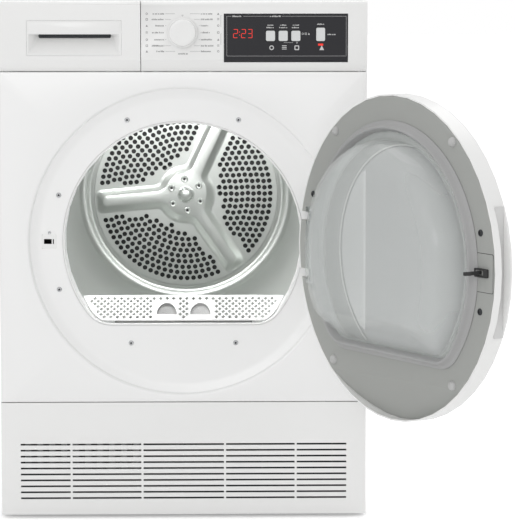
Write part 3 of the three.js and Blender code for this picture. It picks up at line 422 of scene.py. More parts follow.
def new_group(name, inputs):
    """An empty shader group with its sockets; returns it, its two ends and the place on the object."""
    group = bpy.data.node_groups.new(name, "ShaderNodeTree")
    for socket, kind, default in inputs:
        made = group.interface.new_socket(name=socket, in_out="INPUT", socket_type="NodeSocket" + kind)
        made.default_value = default
    for socket, kind in (("Color", "Color"), ("Roughness", "Float"), ("Height", "Float")):
        group.interface.new_socket(name=socket, in_out="OUTPUT", socket_type="NodeSocket" + kind)
    start = group.nodes.new("NodeGroupInput")
    end = group.nodes.new("NodeGroupOutput")
    return group, start.outputs, end, object_place(group)


def surface_group():
    """Cloudy tone, roughness that varies a little and a fine grain, for paint and plastic."""
    group, start, end, where = new_group("moulded_surface", [
        ("Base", "Color", (0.8, 0.8, 0.8, 1)), ("Tint", "Color", (0.7, 0.7, 0.7, 1)),
        ("Cloud Scale", "Float", 5.0), ("Grain Scale", "Float", 900.0),
        ("Smooth", "Float", 0.3), ("Rough", "Float", 0.4)])
    share = mapped_range(group, noise(group, where, start["Cloud Scale"], 3.0), 0.0, 1.0)
    grain = noise(group, where, start["Grain Scale"])
    cells = add_node(group, "TexVoronoi", {"Vector": where, "Scale": start["Grain Scale"]})
    height = add_node(group, "Math", {0: grain, 1: cells.outputs["Distance"]}, operation="ADD")
    feed(group, end, {"Color": mix(group, share, start["Base"], start["Tint"]),
                      "Roughness": mix(group, share, start["Smooth"], start["Rough"], colours=False),
                      "Height": height.outputs[0]})


def metal_group():
    """Fine sparkling grain with two tones, and faint rolling lines, for bare sheet metal."""
    group, start, end, where = new_group("sheet_metal", [
        ("Base", "Color", (0.6, 0.6, 0.6, 1)), ("Tint", "Color", (0.5, 0.5, 0.5, 1)),
        ("Grain Scale", "Float", 700.0), ("Smooth", "Float", 0.28), ("Rough", "Float", 0.5),
        ("Stretch", "Vector", (1.0, 1.0, 1.0))])
    stretched = add_node(group, "VectorMath", {0: where, 1: start["Stretch"]}, operation="MULTIPLY")
    grain = noise(group, stretched.outputs[0], start["Grain Scale"], 4.0)
    fine = mapped_range(group, grain, 0.2, 1.0)
    coarse = mapped_range(group, noise(group, where, 9.0), 0.25, 1.0)
    tone = add_node(group, "Math", {0: coarse, 1: fine}, operation="MULTIPLY").outputs[0]
    feed(group, end, {"Color": mix(group, tone, start["Tint"], start["Base"]),
                      "Roughness": mix(group, fine, start["Rough"], start["Smooth"], colours=False),
                      "Height": grain})


def new_material(name):
    """A material with its node tree and shader."""
    material = bpy.data.materials.new(name)
    material.use_nodes = True
    return material, material.node_tree, material.node_tree.nodes["Principled BSDF"]


def surface(name, group, base, tint, bump, values, metallic=0.0, coat=0.0):
    """A material whose colour, roughness and bump come from a surface group."""
    _, tree, shader = new_material(name)
    sources = {"Base": (*base, 1.0), "Tint": (*tint, 1.0), **values}
    outputs = add_node(tree, "Group", sources, node_tree=bpy.data.node_groups[group]).outputs
    relief = add_node(tree, "Bump", {"Strength": bump, "Distance": 0.0002, "Height": outputs["Height"]})
    feed(tree, shader, {"Metallic": metallic, "Coat Weight": coat, "Coat Roughness": 0.08,
                        "Base Color": outputs["Color"], "Roughness": outputs["Roughness"],
                        "Normal": relief.outputs["Normal"]})


def shade(rgb, factor):
    """A colour made darker or lighter."""
    return tuple(min(channel * factor, 1.0) for channel in rgb)


def plastic(name, rgb, smooth, rough, bump=0.12, grain=900.0, coat=0.0, tint=0.965):
    """Paint, plastic or rubber; the tint is the factor of its second tone."""
    surface(name, "moulded_surface", rgb, shade(rgb, tint), bump,
            {"Smooth": smooth, "Rough": rough, "Grain Scale": grain}, coat=coat)


def sheet_metal(name, rgb, tint, smooth, rough, grain=700.0, bump=0.2, stretch=(1, 1, 1), metallic=1.0):
    """Bare metal with a second tone."""
    surface(name, "sheet_metal", rgb, tint, bump,
            {"Smooth": smooth, "Rough": rough, "Grain Scale": grain, "Stretch": stretch}, metallic=metallic)


def window_material(rgb):
    """Glossy black with a painted reflection that lightens it towards its top edge."""
    _, tree, shader = new_material("black_window")
    where = object_place(tree)
    low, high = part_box("display_window")
    split = add_node(tree, "SeparateXYZ", {0: where})
    height = add_node(tree, "MapRange", {"Value": split.outputs["Z"], "From Min": low.z + 0.012,
                                         "From Max": high.z})
    # painted reflection: the colour goes from the window's black at the bottom to grey at the top edge
    tone = mix(tree, height.outputs["Result"], (*rgb, 1.0), (0.075, 0.075, 0.076, 1.0))
    feed(tree, shader, {"Base Color": tone, "Specular IOR Level": 0.1,
                        "Roughness": mapped_range(tree, noise(tree, where, 60.0), 0.16, 0.24)})


def glass_material(name, rgb):
    """Clear moulded glass that lets light through to what lies behind it."""
    _, tree, shader = new_material(name)
    haze = mapped_range(tree, noise(tree, object_place(tree), 14.0), 0.0, 0.012)
    feed(tree, shader, {"Base Color": (*rgb, 1.0), "Transmission Weight": 1.0, "IOR": 1.46,
                        "Roughness": haze})
    clear = add_node(tree, "BsdfTransparent", {"Color": (0.86, 0.87, 0.865, 1.0)})
    both = mix_shaders(tree, "Is Shadow Ray", shader.outputs[0], clear.outputs[0])
    feed(tree, tree.nodes["Material Output"], {"Surface": both})


def lit_material(rgb):
    """Lit segments, a little uneven."""
    _, tree, shader = new_material("lit_red")
    tone = mix(tree, noise(tree, object_place(tree), 500.0), (*shade(rgb, 0.75), 1.0), (*rgb, 1.0))
    feed(tree, shader, {"Base Color": tone, "Emission Color": tone, "Emission Strength": 0.35,
                        "Roughness": 0.3})


class DRYER_OT_materials(bpy.types.Operator):
    """Make the finishes that the pieces use"""

    bl_idname = "dryer.materials"
    bl_label = "Finishes"

    def execute(self, context):
        colours = context.scene.dryer_colours
        surface_group()
        metal_group()
        plastic("enamel", colours.enamel, 0.24, 0.32, bump=0.05, grain=260.0, coat=0.25, tint=0.985)
        plastic("white_plastic", colours.moulding, 0.34, 0.42, bump=0.10, grain=1100.0, tint=0.98)
        plastic("neck_plastic", shade(colours.moulding, 0.98), 0.38, 0.48, bump=0.12, tint=0.975)
        plastic("grey_plastic", colours.cover, 0.42, 0.55, bump=0.16, grain=1300.0, tint=0.93)
        # a grey that paints the shade inside the door's handle recess
        plastic("recess_painted_shade", (0.68, 0.68, 0.675), 0.45, 0.55, bump=0.1, grain=900.0, tint=0.95)
        plastic("buffer_grey", (0.50, 0.50, 0.495), 0.34, 0.46, bump=0.1, grain=900.0, tint=0.93)
        plastic("seal_grey", colours.bead, 0.5, 0.62, bump=0.1, grain=800.0, tint=0.93)
        # this dark also paints shade: discs in screw sockets and bolt holes, the outline around the latch
        # plate and the ring behind the drum's holes
        plastic("dark_plastic", colours.dark, 0.38, 0.55, bump=0.2, grain=900.0, tint=1.6)
        plastic("key_plastic", colours.key, 0.28, 0.36, bump=0.06, grain=1500.0, tint=0.97)
        plastic("rubber", (0.03, 0.03, 0.031), 0.6, 0.78, bump=0.25, grain=700.0, tint=1.35)
        plastic("felt", (0.42, 0.40, 0.36), 0.9, 1.0, bump=0.8, grain=1600.0, tint=0.8)
        plastic("circuit_green", (0.015, 0.11, 0.045), 0.35, 0.5, bump=0.1, tint=0.7)
        plastic("mesh_grey", (0.58, 0.58, 0.575), 0.5, 0.6, bump=0.9, grain=620.0, tint=0.55)
        plastic("print_grey", colours.print_grey, 0.45, 0.55, bump=0.02, tint=0.94)
        plastic("print_pale", (0.62, 0.62, 0.62), 0.45, 0.55, bump=0.02, tint=0.95)
        # this near-black also serves the sheet that paints the shade in the tank grip's finger slot
        plastic("cast_iron", (0.02, 0.022, 0.026), 0.4, 0.6, bump=0.4, grain=500.0, tint=1.5)
        sheet_metal("drum_steel", colours.steel, colours.steel_tint, 0.3, 0.5, grain=520.0, bump=0.2,
                    metallic=0.8)
        sheet_metal("bright_metal", (0.68, 0.69, 0.70), (0.5, 0.51, 0.52), 0.16, 0.34, grain=900.0, bump=0.1)
        sheet_metal("galvanised", (0.52, 0.54, 0.56), (0.38, 0.40, 0.42), 0.34, 0.55, grain=90.0, bump=0.06)
        sheet_metal("aluminium", (0.66, 0.67, 0.68), (0.5, 0.51, 0.52), 0.28, 0.45, grain=400.0,
                    stretch=(1, 1, 0.05))
        window_material(colours.window)
        glass_material("clear_glass", colours.glass)
        glass_material("tinted_glass", colours.pane)
        lit_material(colours.digits)
        return {"FINISHED"}


# ---------------------------------------------------------------- cabinet


def build_front_sheet(sizes):
    """The front sheet with its dished door seat around the opening."""
    bm = bmesh.new()
    inner = polar_circle(sizes.dish_radius + 4.5)
    outline = []
    for x, z in inner:
        dx, dz = x, z - DOOR_Z
        room = (PANEL_TOP - DOOR_Z) if dz > 0 else (DOOR_Z - PANEL_BOTTOM)
        reach = min(HALF / max(abs(dx), 1e-6), room / max(abs(dz), 1e-6))
        outline.append((dx * reach, DOOR_Z + dz * reach))
    for corner in [(side * HALF, z) for side in (-1, 1) for z in (PANEL_BOTTOM, PANEL_TOP)]:
        nearest = min(range(RING), key=lambda i: math.dist(outline[i], corner))
        outline[nearest] = corner
    rings = [at_depth(outline, 18.0), at_depth(outline, 0.0), at_depth(inner, 0.0)]
    for grow, y in [(2.6, 0.4), (1.2, 1.4), (0.2, 3.0), (-0.8, 5.0)]:
        rings.append(at_depth(polar_circle(sizes.dish_radius + grow), y))
    for grow, y in [(8.0, sizes.dish_depth - 1.5), (4.0, sizes.dish_depth - 0.3), (0.0, sizes.dish_depth)]:
        rings.append(at_depth(polar_circle(sizes.dish_floor + grow), y))
    hole = flat_circle(sizes.opening_radius + 3.3, sizes.opening_drop + 3.3, sizes.opening_corner + 3.3)
    rings += [at_depth(hole, sizes.dish_depth), at_depth(hole, sizes.dish_depth + 1.2)]
    loft(bm, rings)
    left, right = LOCK_SLOT_X
    open_window(bm, left - 0.2, right + 0.2, DOOR_Z - 4.2, DOOR_Z + 4.2, sizes.dish_depth)

    def at_side(place):
        """Whether a place is at a front corner of the sheet."""
        return abs(place.x) > HALF - 0.1 and place.y < 0.01

    tall = folded_edges(bm, FOLD, at_side)
    flat = [edge for edge in folded_edges(bm, FOLD, lambda place: place.y < 0.01) if edge not in tall]
    round_edges(bm, flat, 1.2, 3)
    round_edges(bm, folded_edges(bm, FOLD, at_side), sizes.edge, 5)
    return finish_piece(bm, "front_sheet", "enamel", "cabinet", replaces=("front_panel",), sharp=40)


def add_screw(bm, x, z, y, size, facing=-1):
    """A domed screw head with a deep socket, standing on a face at depth y."""
    r = size / 2
    profile = [(0.0, 0.5), (0.44, 0.5), (0.5, 1.9), (0.72, 2.0), (0.95, 1.2), (1.0, 0.0), (0.9, -0.6)]
    spin_ring(bm, [(r * share, y + facing * rise) for share, rise in profile], x, z, 20, closed=False)


def add_socket_shade(bm, places, y, size, facing=-1):
    """Dark six-lobed discs inside the screw heads that paint the shade of their sockets."""
    for x, z in places:
        spin_ring(bm, [(0.0, y + facing * 0.7), (size * 0.2, y + facing * 0.7), (size * 0.2, y)],
                  x, z, 6, closed=False)


def build_front_screws(sizes):
    """Screws in the door seat and beside the lock."""
    places = [(side * 90.2, DOOR_Z + 197.5) for side in (-1, 1)]
    places += [(side * 201.7, DOOR_Z + z) for side in (-1, 1) for z in (75.5, -78.5)]
    places += [(side * 85.3, DOOR_Z - 167.0) for side in (-1, 1)]
    heads = bmesh.new()
    socket_shade = bmesh.new()
    for x, z in places:
        add_screw(heads, x, z, sizes.dish_depth, sizes.screw)
    add_screw(heads, -217.0, DOOR_Z + 14.5, sizes.dish_depth, sizes.screw * 0.6)
    add_socket_shade(socket_shade, places, sizes.dish_depth, sizes.screw)
    finish_piece(heads, "seat_screws", "bright_metal", "cabinet")
    finish_piece(socket_shade, "seat_screw_socket_shade", "dark_plastic", "cabinet")


def build_porthole_rim(sizes):
    """The rounded white lip of the neck inside the door seat."""
    bm = bmesh.new()
    r, drop, corner = sizes.opening_radius, sizes.opening_drop, sizes.opening_corner
    rings = []
    for step in range(10):
        angle = 2 * math.pi * step / 10
        grow = 1.5 + 1.45 * math.cos(angle)
        ring = flat_circle(r + grow, drop + grow, corner + grow)
        rings.append(at_depth(ring, sizes.dish_depth + 1.7 + 1.3 * math.sin(angle)))
    loft(bm, rings, join_ends=True)
    finish_piece(bm, "porthole_rim", "white_plastic", "cabinet", sharp=60)


def build_lock_plate(sizes):
    """The white plate of the door lock, with a divider beside its slot."""
    bm = bmesh.new()
    plate = door_plate(*LOCK_X, 11.4, 2.0)
    slot = door_plate(*LOCK_SLOT_X, 4.0, 0.8)
    y = sizes.dish_depth
    add_band(bm, plate, slot, y + 1.0, y - 0.6)
    soften(bm, 0.35)
    add_box(bm, (-213.6, y - 0.3, DOOR_Z - 4.0), (-211.8, y + 3.0, DOOR_Z + 4.0))
    finish_piece(bm, "lock_plate", "white_plastic", "cabinet")


class DRYER_OT_cabinet(bpy.types.Operator):
    """Build the front sheet, the worktop, the side and back sheets and the plinth"""

    bl_idname = "dryer.cabinet"
    bl_label = "Cabinet"

    def execute(self, context):
        sizes = context.scene.dryer_sizes
        build_front_sheet(sizes)
        build_front_screws(sizes)
        build_porthole_rim(sizes)
        build_lock_plate(sizes)
        carry("front_bulkhead", "neck_plastic", "cabinet", bevel=0.8)
        carry("door_lock", "dark_plastic", "cabinet", bevel=0.3)
        carry("plinth_grille", "white_plastic", "cabinet", bevel=0.5, side_edge=sizes.edge)
        for node, material, bevel in (
                ("top_panel", "white_plastic", 2.5), ("left_side_panel", "enamel", 0.5),
                ("right_side_panel", "enamel", 0.5), ("back_panel", "galvanised", 0.4),
                ("rear_duct_cover", "galvanised", 1.5), ("mains_gland", "dark_plastic", 0.4)):
            carry(node, material, "cabinet", bevel)
        build_cabinet_screws(sizes)
        return {"FINISHED"}


def build_cabinet_screws(sizes):
    """Screws that hold the back sheet, and a ring of them on the duct cover."""
    bm = bmesh.new()
    back = node_box("back_panel")[1].y
    places = [(x, z) for x in (-270, -90, 90, 270) for z in (45, HEIGHT - 40)]
    places += [(x, z) for z in (200, 340, 620) for x in (-278, 278)]
    for x, z in places:
        add_screw(bm, x, z, back, sizes.screw, facing=1)
    turn, cover_ring = math.radians(22.5), 123
    for x, z in arc(0, DRUM_Z, cover_ring, turn, turn + 2 * math.pi, 8):
        add_screw(bm, x, z, back + 1.8, 6.4, facing=1)
    finish_piece(bm, "back_screws", "bright_metal", "cabinet")


# ---------------------------------------------------------------- feet and inside


class DRYER_OT_inside(bpy.types.Operator):
    """Build the feet, the base and the machinery behind the sheets"""

    bl_idname = "dryer.inside"
    bl_label = "Inside"

    def execute(self, context):
        finishes = {
            "base_tray": "dark_plastic", "tank_runner": "grey_plastic", "rear_bulkhead": "galvanised",
            "rear_bearing": "cast_iron", "motor": "cast_iron", "blower_housing": "dark_plastic",
            "drive_belt": "rubber", "evaporator": "aluminium", "condenser": "aluminium",
            "compressor": "cast_iron", "condensate_pump": "dark_plastic", "pump_hose": "rubber",
            "control_board": "circuit_green", "drum_front_seal": "felt",
        }
        for node, finish in finishes.items():
            carry(node, finish, "cabinet", bevel=0.6)
        for place in ("front_left", "front_right", "back_left", "back_right"):
            carry("foot_" + place, "rubber", "foot_" + place, bevel=1.2)
        for node, material, body, bevel in (
                ("motor_shaft", "bright_metal", "motor_rotor", 0.4),
                ("blower_wheel", "dark_plastic", "motor_rotor", 0.4),
                ("idler_arm", "galvanised", "idler_arm", 0.6),
                ("idler_pulley", "grey_plastic", "idler_pulley", 0.6),
                ("drum_roller_left", "rubber", "roller_left", 0.8),
                ("drum_roller_right", "rubber", "roller_right", 0.8)):
            carry(node, material, body, bevel)
        return {"FINISHED"}


# ---------------------------------------------------------------- drum


def star_outline(sizes, inset):
    """Outline of the three-armed star, drawn smaller by the inset."""
    hub = sizes.star_hub - inset * 1.25
    half = sizes.star_half - inset
    reach = sizes.star_reach - inset
    fillet = 15.0 + inset
    tip = min(9.0, half - 0.6)
    turn = math.asin((half + fillet) / (hub + fillet))
    along = math.cos(turn) * (hub + fillet)
    third = math.pi / 3
    points = []
    for arm in range(3):
        base = math.radians(STAR_ANGLE + 120 * arm)

        arcs = (
            (0.0, 0.0, hub, -third, third - turn, range(6), 6),
            (along, -(half + fillet), fillet, math.pi - turn, -(math.pi / 2 - turn), range(8), 8),
            (reach - tip, -half + tip, tip, -math.pi / 2, math.pi / 2, range(9), 8),
            (reach - tip, half - tip, tip, 0.0, math.pi / 2, range(9), 8),
            (along, half + fillet, fillet, -math.pi / 2, -(math.pi / 2 - turn), range(1, 9), 8),
            (0.0, 0.0, hub, turn, third - turn, range(1, 7), 7),
        )
        for centre_u, centre_v, radius, start, sweep, steps, count in arcs:
            for i in steps:
                angle = start + sweep * i / count
                u, v = centre_u + radius * math.cos(angle), centre_v + radius * math.sin(angle)
                points.append((u * math.cos(base) - v * math.sin(base),
                               DRUM_Z + u * math.sin(base) + v * math.cos(base)))
    return points


def clear_of_star(sizes, x, z, room):
    """Whether a point lies outside the star by at least the given room."""
    distance = math.hypot(x, z - DRUM_Z)
    if distance < sizes.star_hub + room:
        return False
    for arm in range(3):
        base = math.radians(STAR_ANGLE + 120 * arm)
        along = x * math.cos(base) + (z - DRUM_Z) * math.sin(base)
        across = abs((z - DRUM_Z) * math.cos(base) - x * math.sin(base))
        foot = sizes.star_half + room + max(0.0, 14.0 - 0.5 * (along - sizes.star_hub))
        if along > 0 and across < foot and along < sizes.star_reach + room:
            return False
    return True


def drum_holes(sizes):
    """Middles of the holes: rings about the drum's axis, kept clear of the star."""
    places = []
    radius = 62.0
    while radius < 160.0:
        count = int(2 * math.pi * radius / sizes.hole_pitch)
        for i in range(count):
            angle = 2 * math.pi * i / count + math.radians(STAR_ANGLE)
            x, z = radius * math.cos(angle), DRUM_Z + radius * math.sin(angle)
            if clear_of_star(sizes, x, z, sizes.hole * 0.5 + 5.5):
                places.append((x, z))
        radius += sizes.hole_pitch * 0.89
    return places


def build_drum_back(sizes):
    """The perforated back wall with its pressed star."""
    y = WALL_Y
    bm = bmesh.new()
    edges = add_loop(bm, at_depth(arc(0, DRUM_Z, 167.0, 0, 2 * math.pi, 128), y))
    edges += add_loop(bm, at_depth(star_outline(sizes, -2.6), y))
    for x, z in drum_holes(sizes):
        edges += add_loop(bm, at_depth(arc(x, z, sizes.hole / 2, 0, 2 * math.pi, 12), y))
    bmesh.ops.triangle_fill(bm, use_beauty=True, edges=edges, normal=(0, -1, 0))
    made = bmesh.ops.extrude_face_region(bm, geom=bm.faces[:])["geom"]
    bmesh.ops.translate(bm, verts=[v for v in made if isinstance(v, bmesh.types.BMVert)], vec=(0, 1.3, 0))
    bmesh.ops.recalc_face_normals(bm, faces=bm.faces)
    round_edges(bm, folded_edges(bm, FOLD, lambda place: abs(place.y - y) < 0.01), 0.3, 1)
    finish_piece(bm, "drum_back_disc", "drum_steel", "drum", replaces=("drum_back",), sharp=25)


def build_drum_star(sizes):
    """The star pressed out of the back wall, with the dome and bolts in its middle."""
    y = WALL_Y
    bm = bmesh.new()
    h = sizes.star_height
    steps = [(-3.0, 0.0), (-1.0, 0.3), (2.0, 1.5), (7.5, h - 1.8), (9.5, h - 0.6), (11.5, h)]
    loops = loft(bm, [at_depth(star_outline(sizes, inset), y - rise) for inset, rise in steps])
    bmesh.ops.triangle_fill(bm, use_beauty=True, edges=loops[-1], normal=(0, -1, 0))
    finish_piece(bm, "drum_star", "drum_steel", "drum", sharp=50)
    hub = bmesh.new()
    top = y - h
    profile = [(0.0, top - 6.4), (4.0, top - 6.1), (8.0, top - 4.9), (11.0, top - 3.0), (13.0, top - 1.0),
               (15.0, top - 0.2), (17.0, top + 0.4)]
    spin_ring(hub, profile, 0, DRUM_Z, 48, closed=False)
    finish_piece(hub, "drum_hub_dome", "drum_steel", "drum", sharp=60)
    bolts, bolt_hole_shade = bmesh.new(), bmesh.new()
    first, bolt_circle = math.radians(95), 28.7
    for x, z in arc(0, DRUM_Z, bolt_circle, first, first + 2 * math.pi, 6):
        ring = [(2.6, top - 0.3), (2.6, top - 1.6), (4.4, top - 1.9), (6.0, top - 1.0), (6.4, top + 0.3)]
        spin_ring(bolts, ring, x, z, 24, closed=False)
        # painted shade: dark discs in the middles of the bolts
        spin_ring(bolt_hole_shade, [(0.0, top - 0.5), (2.9, top - 0.5), (2.9, top + 0.2)], x, z, 18, closed=False)
    finish_piece(bolts, "drum_bolts", "drum_steel", "drum")
    finish_piece(bolt_hole_shade, "drum_bolt_socket_shade", "dark_plastic", "drum")


def build_hole_shade_ring():
    """A dark ring behind the perforations that paints the shade seen through the holes."""
    y = WALL_Y + 9.0
    bm = bmesh.new()
    spin_ring(bm, [(60.0, y), (175.0, y), (175.0, y + 1.5), (60.0, y + 1.5)], 0, DRUM_Z, 96)
    finish_piece(bm, "drum_hole_shade_ring", "dark_plastic", "drum")


def build_drum_rim():
    """Folded crest, groove and conical outer band of the back wall."""
    y = WALL_Y
    rim = node_box("drum_shell")[1].x - 1.7
    profile = [(166.0, y), (170.0, y), (172.5, y + 0.8), (174.5, y + 0.8), (177.5, y - 1.5), (181.0, y - 4.6),
               (184.5, y - 6.0), (188.0, y - 6.0), (191.5, y - 4.4), (194.5, y - 3.6), (230.0, y - 7.0),
               (rim - 8.0, y - 12.6), (rim - 3.0, y - 14.5), (rim - 0.6, y - 18.0), (rim, y - 18.0),
               (rim, y - 8.0), (230.0, y - 5.4), (190.0, y - 2.2), (175.0, y + 2.2), (166.0, y + 1.4)]
    bm = bmesh.new()
    spin_ring(bm, profile, 0, DRUM_Z, 144)
    finish_piece(bm, "drum_back_rim", "drum_steel", "drum", sharp=50)


def build_drum_shell():
    """The drum's wall with rolled stiffening beads and a hemmed mouth."""
    low, high = node_box("drum_shell")
    r = high.x
    mouth = 262.0    # radius of the hemmed mouth
    front = low.y
    inner = [(mouth, front + 1.2), (mouth + 4, front + 1.7), (r - 6, front + 5.5), (r - 1.6, front + 10.0)]
    outer = [(mouth, front), (mouth + 3, front), (r - 3.0, front + 3.0), (r, front + 8.0)]
    for share in (0.2, 0.5, 0.8):
        y = front + (high.y - front) * share
        inner += [(r - 1.4, y - 9.0), (r - 4.0, y - 4.0), (r - 4.0, y + 4.0), (r - 1.4, y + 9.0)]
        outer += [(r, y - 9.6), (r - 2.7, y - 4.2), (r - 2.7, y + 4.2), (r, y + 9.6)]
    inner.append((r - 1.4, high.y))
    outer.append((r, high.y))
    bm = bmesh.new()
    spin_ring(bm, inner + outer[::-1], 0, DRUM_Z, 128)
    finish_piece(bm, "drum_wall", "drum_steel", "drum", replaces=("drum_shell",), sharp=40)


class DRYER_OT_drum(bpy.types.Operator):
    """Build the drum with its perforated back wall, star and lifters"""

    bl_idname = "dryer.drum"
    bl_label = "Drum"

    def execute(self, context):
        sizes = context.scene.dryer_sizes
        build_drum_shell()
        build_drum_back(sizes)
        build_drum_star(sizes)
        build_drum_rim()
        build_hole_shade_ring()
        for index in (1, 2, 3):
            carry("drum_lifter_" + str(index), "grey_plastic", "drum", bevel=6.0)
        carry("drum_shaft", "bright_metal", "drum", bevel=0.5)
        return {"FINISHED"}


# ---------------------------------------------------------------- lint filter


def slope_point(x, t):
    """A point on the sloping cover: across, and distance up the slope from its front edge."""
    low, high = node_box("lint_filter")
    front = low.y
    start = DOOR_Z - 131.0
    length_y = high.y - front
    rise = 36.0
    whole = math.hypot(length_y, rise)
    return x, front + length_y * t / whole, start + rise * t / whole


def cover_half(sizes, t):
    """Half width of the cover at a distance up the slope."""
    z = slope_point(0, t)[2] - DOOR_Z
    radius = sizes.opening_radius - 2.0
    corner = sizes.opening_corner
    level = -(sizes.opening_drop - 2.0) + corner
    across = math.sqrt(max((radius - corner) ** 2 - level ** 2, 1.0))
    if z < level * radius / (radius - corner):
        return across + math.sqrt(max(corner ** 2 - (z - level) ** 2, 0.0))
    return math.sqrt(radius ** 2 - z ** 2)


def grip_outline(side, t0, t1, x0, x1, count=14):
    """A half-moon finger grip, round at its top."""
    middle, half = (x0 + x1) / 2 * side, (x1 - x0) / 2
    points = [(middle - half, t0), (middle + half, t0)]
    for i in range(1, count):
        angle = math.pi * i / count
        points.append((middle + half * math.cos(angle), t0 + (t1 - t0) * math.sin(angle)))
    return points


def build_lint_cover(sizes):
    """The sloping cover of the lint filter, with diamond openings and two finger grips."""
    top, steps = 57.0, 12    # length of the slope's straight sides, and points along it
    bm = bmesh.new()
    climb = [1.5 + (top - 1.5) * i / steps for i in range(steps + 1)]
    right = [(cover_half(sizes, t), t) for t in climb]
    arch = [(right[-1][0] * math.cos(math.pi * i / 16), top + 1.4 * math.sin(math.pi * i / 16))
            for i in range(1, 16)]
    outline = right + arch + [(-x, t) for x, t in reversed(right)]
    edges = add_loop(bm, [slope_point(x, t) for x, t in outline])
    grips = [grip_outline(side, 14.0, 40.0, 11.0, 44.0) for side in (-1, 1)]
    for grip in grips:
        edges += add_loop(bm, [slope_point(x, t) for x, t in grip])
    pitch, rise = 5.4, 6.0    # between the middles of the diamonds, across and up the slope
    w, h = 3.7, 4.1           # half width and half height of a diamond
    for row in range(8):
        t = 8.5 + row * rise
        half = cover_half(sizes, t) - 9.0
        count = int(half / pitch)
        for i in range(-count, count + 1):
            x = i * pitch
            by_grip = 5.5 < abs(x) < 49.5 and 8.0 < t < 46.5
            if (i + row) % 2 or by_grip or abs(x) > half:
                continue
            edges += add_loop(bm, [slope_point(x - w, t), slope_point(x, t - h), slope_point(x + w, t),
                                   slope_point(x, t + h)])
    bmesh.ops.triangle_fill(bm, use_beauty=True, edges=edges, normal=(0, -0.6, 0.8))
    made = bmesh.ops.extrude_face_region(bm, geom=bm.faces[:])["geom"]
    verts = [v for v in made if isinstance(v, bmesh.types.BMVert)]
    bmesh.ops.translate(bm, verts=verts, vec=(0, 1.5, -2.0))
    finish_piece(bm, "lint_cover", "white_plastic", "lint_filter", replaces=("lint_filter",), sharp=40)
    build_lint_grips(grips)


def build_lint_grips(grips):
    """Grey mesh cups under the finger grips."""
    bm = bmesh.new()
    for grip in grips:
        rim = [slope_point(x, t) for x, t in grip]
        deep = [(x, y + 2.2, z - 3.4) for x, y, z in rim]
        loops = loft(bm, [rim, deep])
        bmesh.ops.contextual_create(bm, geom=loops[-1])
    finish_piece(bm, "lint_grips", "mesh_grey", "lint_filter", recalculate=False)


def build_lint_basket():
    """The basket that hangs below the cover."""
    low = node_box("lint_filter")[0]
    half = 112.0    # half width of the basket
    y0, y1 = low.y + 6.0, low.y + 28.0
    bm = bmesh.new()
    top = DOOR_Z - 121.0
    rings = []
    for grow, z in [(0, low.z), (0, top - 8), (-3, top - 8), (-3, low.z + 3)]:
        outline = rounded_rectangle(-half - grow, half + grow, y0 - grow, y1 + grow, 5.0 + grow * 0.6)
        rings.append([(x, y, z) for x, y in outline])
    loops = loft(bm, rings)
    bmesh.ops.contextual_create(bm, geom=loops[0])
    bmesh.ops.contextual_create(bm, geom=loops[-1])
    finish_piece(bm, "lint_basket", "grey_plastic", "lint_filter")


class DRYER_OT_lint_filter(bpy.types.Operator):
    """Build the lint filter with its perforated cover"""

    bl_idname = "dryer.lint_filter"
    bl_label = "Lint filter"

    def execute(self, context):
        sizes = context.scene.dryer_sizes
        build_lint_cover(sizes)
        build_lint_basket()
        return {"FINISHED"}


# ---------------------------------------------------------------- controls


def add_bar(bm, x0, x1, z0, z1, y=-0.12, depth=0.14):
    """A thin printed mark on the front."""
    add_box(bm, (min(x0, x1), y, min(z0, z1)), (max(x0, x1), y + depth, max(z0, z1)))


def add_mark(bm, x, z, size, kind, y=-0.12):
    """A small generic symbol: a ring, a square outline, a triangle or a row of bars."""
    half = size / 2
    within = half * 0.6
    if kind == 0:
        add_band(bm, arc(x, z, half, 0, 2 * math.pi, 16), arc(x, z, within, 0, 2 * math.pi, 16), y, y + 0.1)
    elif kind == 1:
        outer = rounded_rectangle(x - half, x + half, z - half, z + half, half * 0.3, 2)
        inner = rounded_rectangle(x - within, x + within, z - within, z + within, half * 0.2, 2)
        add_band(bm, outer, inner, y, y + 0.1)
    elif kind == 2:
        add_plate(bm, [(x - half, z - half), (x + half, z - half), (x, z + half)], y, y + 0.1)
    else:
        for step in (-1, 0, 1):
            add_bar(bm, x - half, x + half, z + step * half * 0.7, z + step * half * 0.7 + half * 0.3, y)


def add_words(bm, x0, x1, z, height, seed, y=-0.12):
    """A row of short bars that reads as a line of small print."""
    rng = random.Random(seed)
    x = x0
    while x < x1 - 0.8:
        width = min(rng.uniform(0.9, 1.9), x1 - x)
        tall = height * rng.choice((0.72, 0.72, 1.0))
        add_bar(bm, x, x + width, z - height / 2, z - height / 2 + tall, y)
        x += width + rng.choice((0.45, 0.45, 0.45, 1.3))


